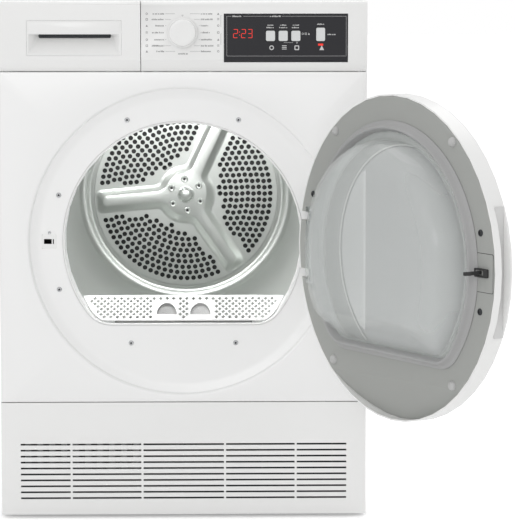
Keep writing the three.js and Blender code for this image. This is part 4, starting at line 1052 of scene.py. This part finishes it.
def build_program_marks():
    """Program names, symbols and pointer lines around the knob."""
    bm = bmesh.new()
    rows = (30.2, 21.2, 11.1, 0.0, -11.3, -21.2, -30.2)
    widths = (18.5, 20.0, 14.0, 19.5, 16.0, 20.0, 12.5)
    for index, rise in enumerate(rows):
        z = KNOB_Z + rise
        for side in (-1, 1):
            width = widths[(index * (2 + side)) % 7]
            start = side * 29.5 - (width if side < 0 else 0.0)
            add_words(bm, start, start + width, z, 2.5, 10 * index + side)
            add_mark(bm, side * 57.5, z, 3.6, (index + (side > 0) * 2) % 4)
            reach = max(math.sqrt(max(27.5 ** 2 - rise ** 2, 0.0)), 11.0)
            if reach < 27.0:
                add_bar(bm, side * 28.0, side * (reach + 1.0), z - 0.22, z + 0.22)
    add_mark(bm, 0, KNOB_Z + 27.5, 2.4, 0)
    add_words(bm, -7.0, 9.0, KNOB_Z - 34.0, 2.5, 99)
    for z in (KNOB_Z + 21, KNOB_Z - 8):
        add_bar(bm, 61.5, 62.0, z - 12, z + 6)
        add_bar(bm, 61.5, 63.0, z + 6, z + 6.4)
    finish_piece(bm, "program_marks", "print_grey", "cabinet")


SEGMENTS = {"2": "abged", "3": "abgcd", "5": "afgcd", "8": "abcdefg"}


def add_digit(bm, digit, x, z, width, tall, y):
    """A seven-segment digit with its lower left corner at (x, z)."""
    t = 0.9    # thickness of a segment
    mid = z + tall / 2
    bars = {"a": (x + t, x + width - t, z + tall - t, z + tall), "d": (x + t, x + width - t, z, z + t),
            "g": (x + t, x + width - t, mid - t / 2, mid + t / 2),
            "f": (x, x + t, mid + t / 2, z + tall - t / 2), "e": (x, x + t, z + t / 2, mid - t / 2),
            "b": (x + width - t, x + width, mid + t / 2, z + tall - t / 2),
            "c": (x + width - t, x + width, z + t / 2, mid - t / 2)}
    for name in SEGMENTS[digit]:
        add_bar(bm, *bars[name], y=y)


def build_display_marks():
    """Lit digits, lit bar, outline and symbols of the display."""
    y = node_box("display_window")[0].y - 0.12
    lit = bmesh.new()
    low_z, tall = KNOB_Z - 8.8, 14.2
    for digit, x in (("2", 81.6), ("2", 94.4), ("3", 104.9)):
        add_digit(lit, digit, x, low_z, 7.6, tall, y)
    for rise in (4.0, 9.0):
        add_bar(lit, 91.2, 92.4, low_z + rise, low_z + rise + 1.2, y)
    start_low, start_high = node_box("start_button")
    middle = (start_low.x + start_high.x) / 2
    add_bar(lit, middle - 4.1, middle + 4.1, start_low.z - 7.4, start_low.z - 4.2, y)
    finish_piece(lit, "lit_digits", "lit_red", "cabinet")
    bm = bmesh.new()
    left, right = 71.1, 263.9
    top, bottom = KNOB_Z + 25.9, KNOB_Z - 38.0
    for x0, x1 in ((left, 79.0), (98.0, 139.0), (160.0, right)):
        add_bar(bm, x0, x1, top, top + 0.35, y)
    add_bar(bm, left, right, bottom, bottom + 0.35, y)
    add_bar(bm, left, left + 0.35, bottom, top, y)
    add_bar(bm, right - 0.35, right, bottom, top, y)
    add_words(bm, 80.5, 96.5, top + 0.2, 2.3, 5, y)
    add_words(bm, 140.5, 158.5, top + 0.2, 2.3, 6, y)
    for index in range(3):
        x = 141.7 + 20.4 * index
        add_words(bm, x - 6.5, x + 6.5, KNOB_Z + 8.0, 2.0, 20 + index, y)
        add_words(bm, x - 5.0, x + 5.0, KNOB_Z + 12.0, 2.0, 30 + index, y)
    for x, kind in ((143.5, 0), (163.9, 3), (184.1, 1), (224.3, 2)):
        add_mark(bm, x, KNOB_Z - 24.5, 7.6, kind, y)
    add_bar(bm, 163.0, 178.0, KNOB_Z - 16.4, KNOB_Z - 16.0, y)
    add_mark(bm, 184.3, KNOB_Z - 16.2, 2.6, 1, y)
    for step in range(3):
        add_mark(bm, 193.5 + 5.0 * step, KNOB_Z - 2.0, 3.2, step, y)
    add_words(bm, 233.5, 246.5, KNOB_Z - 3.0, 2.3, 8, y)
    add_words(bm, middle - 5.5, middle + 5.5, KNOB_Z + 13.5, 2.2, 9, y)
    finish_piece(bm, "display_marks", "print_pale", "cabinet")


def build_knob(sizes):
    """The program knob with a finely fluted side and a wide skirt."""
    low, high = node_box("program_knob")
    front = low.y
    r, skirt = sizes.knob_radius, sizes.skirt_radius
    profile = [(0.0, front + 0.4), (r - 6.0, front + 0.3), (r - 2.6, front), (r - 0.9, front + 0.6),
               (r, front + 2.2), (r + 0.6, -6.0), (r + 1.2, -4.4), (skirt - 0.8, -3.6), (skirt, -2.8),
               (skirt, -0.9), (5.0, -0.8), (5.0, high.y), (0.0, high.y)]
    bm = bmesh.new()
    spin_ring(bm, profile, 0, KNOB_Z, 96, closed=False)
    for vert in bm.verts:
        if front + 1.5 < vert.co.y < -4.5:
            angle = math.atan2(vert.co.z - KNOB_Z, vert.co.x)
            dip = 1.0 - 0.012 * (1.0 + math.cos(48 * angle))
            vert.co.x *= dip
            vert.co.z = KNOB_Z + (vert.co.z - KNOB_Z) * dip
    finish_piece(bm, "knob_body", "white_plastic", "program_knob", replaces=("program_knob",), sharp=40)


def build_grip():
    """The tank grip: a scooped recess, a near-black sheet at its top that paints the shade of the finger
    slot, and a plain label plate above.
    """
    low, high = node_box("tank_grip")
    bm = bmesh.new()
    left, right, foot, top = low.x, high.x, low.z, high.z
    rings = [at_depth(rounded_rectangle(left, right, foot, top, 1.0), y) for y in (28.0, 0.2)]
    for inset, rise, radius, y in ((2.0, 2.0, 1.0, 0.2), (3.5, 3.2, 1.5, 1.2), (15.0, 25.5, 3.0, 24.0),
                                   (17.0, 27.0, 3.0, 26.0), (17.5, 27.2, 2.6, 28.0)):
        outline = rounded_rectangle(left + inset, right - inset, foot + rise, LABEL_FOOT, radius)
        rings.append(at_depth(outline, y))
    loops = loft(bm, rings)
    bmesh.ops.contextual_create(bm, geom=loops[-1])
    finish_piece(bm, "grip_cup", "white_plastic", "tank_drawer", replaces=("tank_grip",))
    # painted shade: a near-black sheet at the back of the finger slot under the label plate
    slot = bmesh.new()
    shape = rounded_rectangle(left + 17.2, right - 17.2, foot + 27.1, LABEL_FOOT - 0.2, 2.4)
    add_plate(slot, shape, 27.2, 28.5)
    finish_piece(slot, "grip_painted_shade_sheet", "cast_iron", "tank_drawer")
    plate = bmesh.new()
    add_plate(plate, rounded_rectangle(left + 2.5, right - 2.5, LABEL_FOOT + 1.6, top - 2.0, 1.5), -0.3, 0.6)
    soften(plate, 0.3)
    finish_piece(plate, "grip_plate", "white_plastic", "tank_drawer")


class DRYER_OT_controls(bpy.types.Operator):
    """Build the control strip, its knob, keys and display, and the condensate tank"""

    bl_idname = "dryer.controls"
    bl_label = "Controls"

    def execute(self, context):
        sizes = context.scene.dryer_sizes
        carry("control_fascia", "white_plastic", "cabinet", bevel=0.6, side_edge=sizes.edge)
        carry("display_window", "black_window", "cabinet", bevel=0.25)
        build_program_marks()
        build_display_marks()
        build_knob(sizes)
        for index in (1, 2, 3):
            name = "option_button_%d" % index
            carry(name, "key_plastic", name, bevel=0.7)
        carry("start_button", "key_plastic", "start_button", bevel=0.7)
        carry("tank_drawer_front", "white_plastic", "tank_drawer", bevel=0.6, side_edge=sizes.edge)
        carry("water_tank", "white_plastic", "tank_drawer", bevel=1.6)
        carry("tank_lid", "white_plastic", "tank_drawer", bevel=0.8)
        build_grip()
        return {"FINISHED"}


# ---------------------------------------------------------------- door


def bowl_ring(y, radius, shrink):
    """Outline of the bowl at one depth; its flat bottom rises with depth."""
    drop = 138.0 - 53.0 * (y + 2.7) / 62.7 - shrink * 1.35
    return at_depth(flat_circle(radius - shrink, drop, 26.0), y)


def build_bowl(sizes):
    """The glass bowl with its flange."""
    bm = bmesh.new()
    r, deep, wall = sizes.bowl_radius, sizes.bowl_depth, sizes.glass_wall
    edge = [(0.0, -2.9), (22.0, -2.9), (23.6, -2.4), (24.0, -1.8), (23.6, -1.2), (22.4, -0.8)]
    flange = [at_depth(flat_circle(r + grow, 138.0 + grow * 0.21, 40.0), y) for grow, y in edge]
    outer = [bowl_ring(y, radius, 0) for y, radius in [(-0.8, r + 2.2), (0.4, r + 0.6), (3.0, r)]]
    inner = []
    for share, narrow, thick in [(0.3, 2.6, 0.0), (0.55, 6.0, 0.4), (0.74, 13.0, 0.7), (0.88, 24.0, 1.0),
                                 (0.96, 36.0, 1.0), (0.99, 48.0, 1.0), (1.0, 64.0, 1.0)]:
        outer.append(bowl_ring(deep * share, r - narrow, 0))
        inner.insert(0, bowl_ring(deep * share - wall * thick, r - narrow, wall))
    inner += [bowl_ring(y, r, wall) for y in (3.0, -2.4)]
    for rim in loft(bm, inner + flange + outer):
        bmesh.ops.contextual_create(bm, geom=rim)
    finish_piece(bm, "glass_bowl", "clear_glass", "door", replaces=("door_glass_bowl",), swing=True,
                 sharp=60)


def build_door_seal(sizes):
    """The soft bead around the bowl that presses on the door seat."""
    bm = bmesh.new()
    profile = [(-6.5, -2.7), (-6.0, 0.5), (-4.2, 3.4), (-2.6, 7.2), (-1.2, 8.6), (0.6, 8.8), (2.0, 7.6),
               (3.4, 4.0), (5.6, 1.2), (7.4, -0.2), (9.6, -0.8), (10.4, -1.8), (10.2, -2.7)]
    rings = [at_depth(flat_circle(sizes.bead_radius + grow, 145.0 + grow, 46.0 + grow), y)
             for grow, y in profile]
    loft(bm, rings, join_ends=True)
    finish_piece(bm, "door_bead", "seal_grey", "door", replaces=("door_seal",), swing=True, sharp=50)


def cover_window(sizes):
    """Outline of the inner cover's opening for the bowl."""
    return flat_circle(sizes.bowl_radius - 2.0, 137.0, 32.0)


def build_inner_cover(sizes):
    """The grey inner cover of the door with its opening for the bowl and its folded lower chord."""
    bm = bmesh.new()
    r = 248.4    # radius of the cover
    window = cover_window(sizes)
    rings = [at_depth(polar_circle(r - narrow), y)
             for narrow, y in ((0.0, -5.6), (0.0, -4.2), (0.5, -3.4), (1.6, COVER_Y), (20.0, COVER_Y))]
    rings += [at_depth(window, COVER_Y), at_depth(window, -5.6)]
    loft(bm, rings, join_ends=True)
    start = Vector((130.0, 0.0, DOOR_Z - 190.0))           # a point on the chord's fold
    down = Vector((-10.0, 0.0, -281.0)).normalized()       # square to the fold, towards the floor
    bmesh.ops.bisect_plane(bm, geom=bm.verts[:] + bm.edges[:] + bm.faces[:], dist=1e-4, plane_co=start,
                           plane_no=down)
    for vert in bm.verts:
        below = (vert.co - start).dot(down)
        if below > 0.01:
            vert.co.y -= min(below * 0.3, 16.0)
    cover = finish_piece(bm, "door_cover", "grey_plastic", "door", replaces=("door_inner_cover",),
                         swing=True, sharp=14)
    carve(cover, hinge_slots(), swing=True)


def build_door_liner(sizes):
    """The grey wall between the bowl's opening and the pane in the door's outer face."""
    bm = bmesh.new()
    window = cover_window(sizes)
    middle = flat_circle(sizes.bowl_radius - 3.5, 150.0, 60.0)
    loft(bm, [at_depth(window, -5.0), at_depth(window, -8.0), at_depth(middle, -20.0),
              at_depth(polar_circle(174.5), -29.0), at_depth(polar_circle(170.0), -31.0)])
    piece = finish_piece(bm, "door_liner", "grey_plastic", "door", swing=True)
    thick = piece.modifiers.new("wall", "SOLIDIFY")
    thick.thickness = 0.0012


def build_latch_plate():
    """The seated plate and collar around the hook, a dark outline of painted shade around the plate, and a
    grey sheet of painted shade in the handle recess.
    """
    y = COVER_Y
    # painted shade: a dark plate a little larger than the latch plate, showing as a dark outline around it
    shade_outline = bmesh.new()
    add_plate(shade_outline, door_plate(-246.0, -205.0, 29.0, 2.5), y - 0.4, y + 0.1)
    finish_piece(shade_outline, "latch_shade_outline", "dark_plastic", "door", swing=True)
    plate = bmesh.new()
    add_plate(plate, door_plate(-245.2, -205.8, 28.2, 2.0), y - 0.4, y + 0.6)
    soften(plate, 0.3)
    finish_piece(plate, "latch_plate", "grey_plastic", "door", swing=True)
    collar = bmesh.new()
    outer = door_plate(-236.0, -207.0, 6.5, 2.0)
    inner = door_plate(-228.0, -208.6, 4.0, 1.0)
    add_band(collar, outer, inner, y + 0.4, y + 5.0)
    soften(collar, 0.5)
    finish_piece(collar, "hook_collar", "dark_plastic", "door", swing=True)
    # painted shade: a grey sheet on the inner wall of the white handle recess
    recess_shade_sheet = bmesh.new()
    add_box(recess_shade_sheet, (-234.4, -31.2, DOOR_Z - 96.6), (-233.0, -14.8, DOOR_Z + 96.6))
    finish_piece(recess_shade_sheet, "handle_recess_shade_sheet", "recess_painted_shade", "door", swing=True)


def hinge_slots():
    """Room for the hinge's two arms."""
    cutter = bmesh.new()
    for side in (-1, 1):
        z = DOOR_Z + side * HINGE_ARM
        add_box(cutter, (HINGE_X - 15.0, -12.0, z - 7.2), (HINGE_X + 40.0, 6.0, z + 7.2))
    return cutter


def build_hinge_stops():
    """Ribbed stops above and below the hinge, and the spring clips on its arms."""
    stops, clips = bmesh.new(), bmesh.new()
    for side in (-1, 1):
        for i in range(5):
            z = DOOR_Z + side * (72.0 + 3.2 * i)
            add_box(stops, (HINGE_X - 22.0, 1.5 + 1.1 * i, z - 1.0), (HINGE_X - 9.0 - 1.2 * i, 9.8, z + 1.0))
        z = DOOR_Z + side * 78.5
        add_box(stops, (HINGE_X - 21.0, 6.5, z - 7.5), (HINGE_X - 14.0, 9.8, z + 7.5))
        z = DOOR_Z + side * HINGE_ARM
        for y0, y1, z0, z1 in ((-4.6, 2.0, -8.5, -6.8), (-4.6, 2.0, 6.8, 8.5), (-5.6, -4.4, -8.5, 8.5)):
            add_box(clips, (HINGE_X - 9.0, y0, z + z0), (HINGE_X - 5.6, y1, z + z1))
    soften(stops, 0.3)
    finish_piece(stops, "hinge_stops", "galvanised", "cabinet", merge=0)
    finish_piece(clips, "hinge_clips", "bright_metal", "door", swing=True, merge=0)


def build_door_details(sizes):
    """Buffers, screws, latch plate and hinge leaf on the door's inner face."""
    y = COVER_Y
    buffers = bmesh.new()
    dome = [(0.0, y + 6.0), (3.2, y + 5.5), (5.8, y + 3.9), (7.4, y + 1.4), (7.7, y - 2.5)]
    for x, rise in [(148, 187), (-148, 187), (-152, -176), (152, -176)]:
        spin_ring(buffers, dome, x, DOOR_Z + rise, 28, closed=False)
    finish_piece(buffers, "door_buffers", "buffer_grey", "door", swing=True)
    heads, socket_shade = bmesh.new(), bmesh.new()
    places = [(x, DOOR_Z + rise) for x, rise in ((210, 83), (210, -65), (-216, 58), (-216, -58))]
    for x, z in places:
        add_screw(heads, x, z, y, sizes.screw * 1.2, facing=1)
    # painted shade in the door screws' sockets
    add_socket_shade(socket_shade, places, y, sizes.screw * 1.6, facing=1)
    finish_piece(heads, "door_screws", "cast_iron", "door", swing=True)
    finish_piece(socket_shade, "door_screw_socket_shade", "dark_plastic", "door", swing=True)
    build_latch_plate()
    leaf = bmesh.new()
    add_plate(leaf, door_plate(HINGE_X - 14, HINGE_X + 6, 62.0, 2.0), y - 0.3, y + 0.7)
    soften(leaf, 0.4)
    leaf = finish_piece(leaf, "hinge_leaf", "bright_metal", "door", swing=True)
    carve(leaf, hinge_slots(), swing=True)


class DRYER_OT_door(bpy.types.Operator):
    """Build the door with its glass bowl, seal, hook and hinge"""

    bl_idname = "dryer.door"
    bl_label = "Door"

    def execute(self, context):
        sizes = context.scene.dryer_sizes
        carry("door_outer_shell", "white_plastic", "door", bevel=0.8)
        carry("door_window", "tinted_glass", "door", bevel=0.4)
        build_bowl(sizes)
        build_door_seal(sizes)
        build_inner_cover(sizes)
        build_door_liner(sizes)
        build_door_details(sizes)
        build_hinge_stops()
        carry("door_hook", "dark_plastic", "hook", bevel=0.4)
        carry("hinge_pin", "bright_metal", "door", bevel=0.3)
        carry("hinge_bracket", "galvanised", "cabinet", bevel=0.6)
        return {"FINISHED"}


# ---------------------------------------------------------------- stage


def add_light(name, location, target, width, height, watts):
    """A soft rectangular lamp aimed at a point; places in millimetres, the lamp's sides in metres."""
    data = bpy.data.lights.new(name, "AREA")
    data.shape = "RECTANGLE"
    data.size = width
    data.size_y = height
    data.energy = watts
    lamp = bpy.data.objects.new(name, data)
    bpy.context.scene.collection.objects.link(lamp)
    start, end = PLACE @ Vector(location), PLACE @ Vector(target)
    lamp.location = start
    lamp.rotation_euler = (end - start).to_track_quat("-Z", "Y").to_euler()


def build_world(eye, light, through):
    """A surround with its own brightness to the eye, as a light and seen through glass."""
    world = bpy.data.worlds.new("surround")
    bpy.context.scene.world = world
    world.use_nodes = True
    tree = world.node_tree
    tree.nodes.clear()
    grey = [add_node(tree, "Background", {"Color": (white, white, white, 1.0)}).outputs[0]
            for white in (light, through, eye)]
    seen_through = mix_shaders(tree, "Is Transmission Ray", grey[0], grey[1])
    feed(tree, add_node(tree, "OutputWorld"),
         {"Surface": mix_shaders(tree, "Is Camera Ray", seen_through, grey[2])})


def build_floor():
    """A plain pale floor, with painted shade where it is seen through glass."""
    bm = bmesh.new()
    bmesh.ops.create_grid(bm, x_segments=1, y_segments=1, size=30.0)
    mesh = bpy.data.meshes.new("floor")
    bm.to_mesh(mesh)
    bm.free()
    material, tree, shader = new_material("floor")
    path = add_node(tree, "LightPath").outputs
    # painted shade: the floor turns dark grey where it is seen through the door's glass
    tone = mix(tree, path["Is Transmission Ray"], (0.95, 0.95, 0.95, 1.0), (0.34, 0.34, 0.34, 1.0))
    feed(tree, shader, {"Roughness": mapped_range(tree, noise(tree, object_place(tree), 3.0), 0.7, 0.85),
                        "Base Color": tone, "Emission Color": (1.0, 1.0, 1.0, 1.0),
                        "Emission Strength": mapped_range(tree, path["Is Camera Ray"], 0.0, 0.32)})
    mesh.materials.append(material)
    floor = bpy.data.objects.new("floor", mesh)
    bpy.context.scene.collection.objects.link(floor)


class DRYER_OT_stage(bpy.types.Operator):
    """Set the floor, lamps, surround and camera"""

    bl_idname = "dryer.stage"
    bl_label = "Stage"

    def execute(self, context):
        build_floor()
        build_world(eye=1.0, light=0.8, through=0.4)
        for name, place, target, width, height, watts in (
                ("key_lamp", (-1900, -2600, 2500), (0, 0, 450), 2.2, 1.6, 6),
                ("top_lamp", (600, 1500, 3200), (600, 900, 0), 3.0, 3.0, 30),
                ("front_lamp", (-500, -3200, 1500), (0, 480, 440), 0.7, 0.7, 7),
                ("drum_lamp_left", (-130, 100, 700), (60, 480, 330), 0.2, 0.06, 1.6),
                ("drum_lamp_right", (150, 100, 690), (-60, 480, 380), 0.2, 0.06, 1.2)):
            add_light(name, place, target, width, height, watts)
        data = bpy.data.cameras.new("camera")
        data.lens = 171.7
        data.sensor_width = 36.0
        data.shift_y = -0.1
        data.clip_end = 60.0
        camera = bpy.data.objects.new("camera", data)
        context.scene.collection.objects.link(camera)
        camera.location = PLACE @ Vector((44.6, -4002.3, 895.5))
        camera.rotation_euler = (math.radians(84.5), 0.0, math.radians(-1.09))
        context.scene.camera = camera
        context.scene.view_settings.view_transform = "Standard"
        return {"FINISHED"}


# ---------------------------------------------------------------- add-on


class DRYER_PT_panel(bpy.types.Panel):
    """Sizes, colours and the steps of the build"""

    bl_idname = "DRYER_PT_panel"
    bl_label = "Dryer"
    bl_space_type = "VIEW_3D"
    bl_region_type = "UI"
    bl_category = "Dryer"

    def draw(self, context):
        for group in (context.scene.dryer_sizes, context.scene.dryer_colours):
            for name in group.__annotations__:
                self.layout.prop(group, name)
        for step in STEPS:
            self.layout.operator(step.bl_idname)


STEPS = (DRYER_OT_materials, DRYER_OT_cabinet, DRYER_OT_inside, DRYER_OT_drum, DRYER_OT_lint_filter,
         DRYER_OT_controls, DRYER_OT_door, DRYER_OT_stage)
CLASSES = (DryerSizes, DryerColours) + STEPS + (DRYER_PT_panel,)


def register():
    for item in CLASSES:
        bpy.utils.register_class(item)
    bpy.types.Scene.dryer_sizes = bpy.props.PointerProperty(type=DryerSizes)
    bpy.types.Scene.dryer_colours = bpy.props.PointerProperty(type=DryerColours)


def unregister():
    del bpy.types.Scene.dryer_colours
    del bpy.types.Scene.dryer_sizes
    for item in reversed(CLASSES):
        bpy.utils.unregister_class(item)


def main():
    register()
    bpy.ops.dryer.materials()
    bpy.ops.dryer.cabinet()
    bpy.ops.dryer.inside()
    bpy.ops.dryer.drum()
    bpy.ops.dryer.lint_filter()
    bpy.ops.dryer.controls()
    bpy.ops.dryer.door()
    bpy.ops.dryer.stage()


if __name__ == "__main__":
    main()
